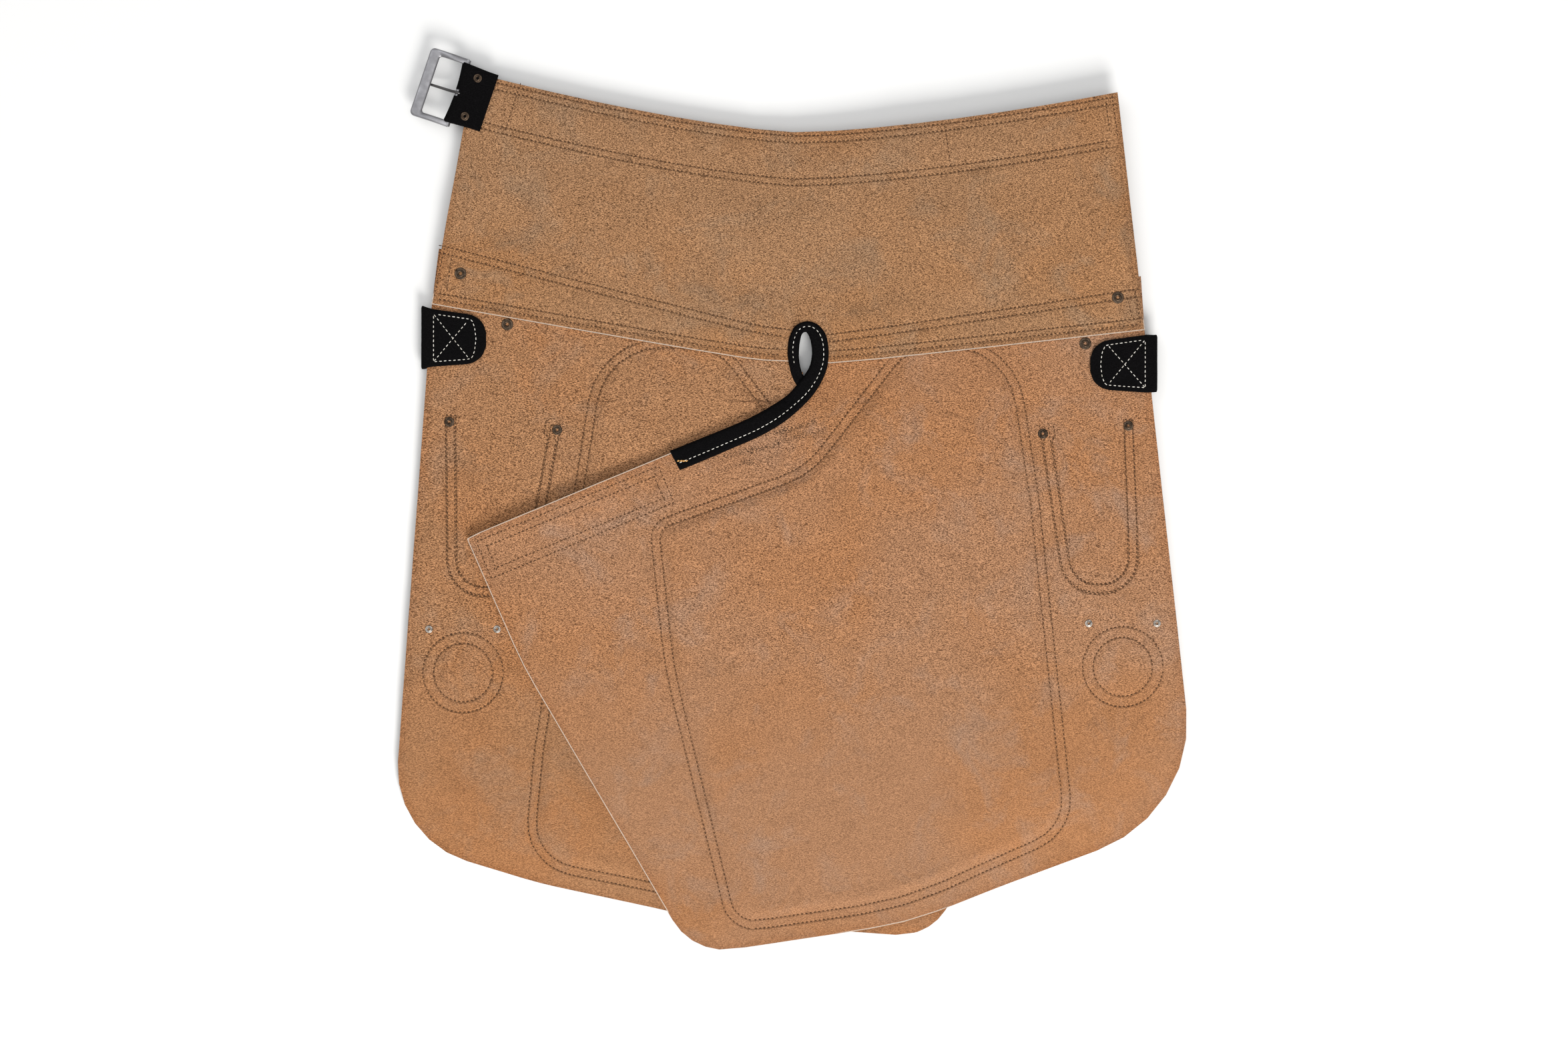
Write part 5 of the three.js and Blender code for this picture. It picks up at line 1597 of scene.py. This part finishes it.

# Each row gives a share of the radius, a height in millimetres and how dark it is painted. The dark round
# the ring and under the flange is patina, and the dark in the middle is painted shade for the shank's deep
# hole.
RIVET_PROFILE = [
    (0.0, -0.7, 1), (0.26, -0.7, 1), (0.3, 0.0, 0.9), (0.36, 0.32, 0), (0.44, 0.4, 0), (0.52, 0.3, 0.1),
    (0.58, 0.04, 0.75), (0.7, 0.06, 0.15), (0.88, 0.1, 0), (0.96, 0.0, 0), (1.0, -0.25, 0.3),
    (0.98, -0.6, 0.6), (0.0, -0.9, 1),
]


def turned_head(centre, radius, top, up, sides=28):
    """A rivet head as a profile turned about its axis: rings of points with how hollow each is."""
    profile = np.array(RIVET_PROFILE) if up > 0 else np.array(
        [(0, 0.5, 0), (0.3, 0.47, 0), (0.6, 0.36, 0), (0.85, 0.16, 0), (0.97, -0.05, 0), (1.0, -0.3, 0.2),
         (0.95, -0.6, 0.5), (0, -0.7, 1)])
    around = np.linspace(0, 2 * np.pi, sides, endpoint=False)
    rings = np.zeros((len(profile), sides, 3))
    rings[..., 0] = centre[0] + radius * profile[:, 0, None] * np.cos(around)
    rings[..., 1] = centre[1] + radius * profile[:, 0, None] * np.sin(around)
    rings[..., 2] = top + up * profile[:, 1, None] * MM
    return rings.reshape(-1, 3), tube_quads(len(profile), sides), np.repeat(profile[:, 2], sides)


for node in [name for name in frame["nodes"] if name.startswith("rivet_")]:
    low, high = np.array(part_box(node))
    centre, radius = (low[:2] + high[:2]) / 2, (high[0] - low[0]) / 2
    if "pad" in node or "pocket" in node:
        side = "left" if "left" in node else "right"
        top = float(leg_tops[side](*centre)) + 0.35 * MM
    elif "loop" in node:
        top = float(leg_tops["left" if "left" in node else "right"](*centre)) + 0.45 * MM
    elif "yoke" in node:
        top = float(yoke_top(*centre)) + 0.4 * MM
    else:
        top = BAR[2] + CHAPE_TOP + 0.35 * MM
    over, over_faces, over_hollow = turned_head(centre, radius, top, 1)
    under, under_faces, under_hollow = turned_head(centre, radius, low[2] + 0.5 * MM, -1)
    faces = np.vstack([over_faces, under_faces + len(over)]).tolist()
    rivet = put(f"{node}_metal", np.vstack([over, under]), faces, [nickel if "pad" in node else antique])
    carry(rivet, "hollow", np.concatenate([over_hollow, under_hollow]))
    cleaned(rivet, 80)
    faced_outward(rivet)
    on_leg = "pad" in node or "pocket" in node
    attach(rivet, f"{side}_leg" if on_leg else "root")
    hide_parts(node)


# ---- Belt and magnets ----
# The belt is black bridle leather with burnished edges, sewn under the waist band and folded back
# flat. The magnets are nickel-plated discs, hidden in their pads.


def belt_material():
    """Black bridle leather: waxed, with fine pores."""
    material, tree, shader = new_material("bridle_leather")
    place = tree.nodes.new("ShaderNodeTexCoord").outputs["Object"]
    wax = noise(tree, place, 70.0, 3.0)
    tree.links.new(
        blend_colours(tree, ranged(tree, wax, 0.4, 0.65), (0.011, 0.009, 0.008, 1), (0.024, 0.02, 0.018, 1)),
        shader.inputs["Base Color"],
    )
    tree.links.new(ranged(tree, wax, 0.3, 0.7, 0.36, 0.55), shader.inputs["Roughness"])
    pores = wire(tree, "ShaderNodeTexVoronoi", {"Vector": place, "Scale": 900.0}).outputs["Distance"]
    bump = wire(tree, "ShaderNodeBump", {"Height": pores, "Strength": 0.2, "Distance": 0.4 * MM})
    tree.links.new(bump.outputs["Normal"], shader.inputs["Normal"])
    return material


bridle = belt_material()
for node in ("belt_anchor", "belt_strap"):
    belt_piece = frame["nodes"][node]
    belt_piece.data.materials.clear()
    belt_piece.data.materials.append(bridle)
magnet_metal = steel_material("plated_magnet", (0.62, 0.63, 0.64, 1), 0.22, 0.0)
for side in ("left", "right"):
    magnet = frame["nodes"][f"{side}_magnet"]
    magnet.data.materials.clear()
    magnet.data.materials.append(magnet_metal)
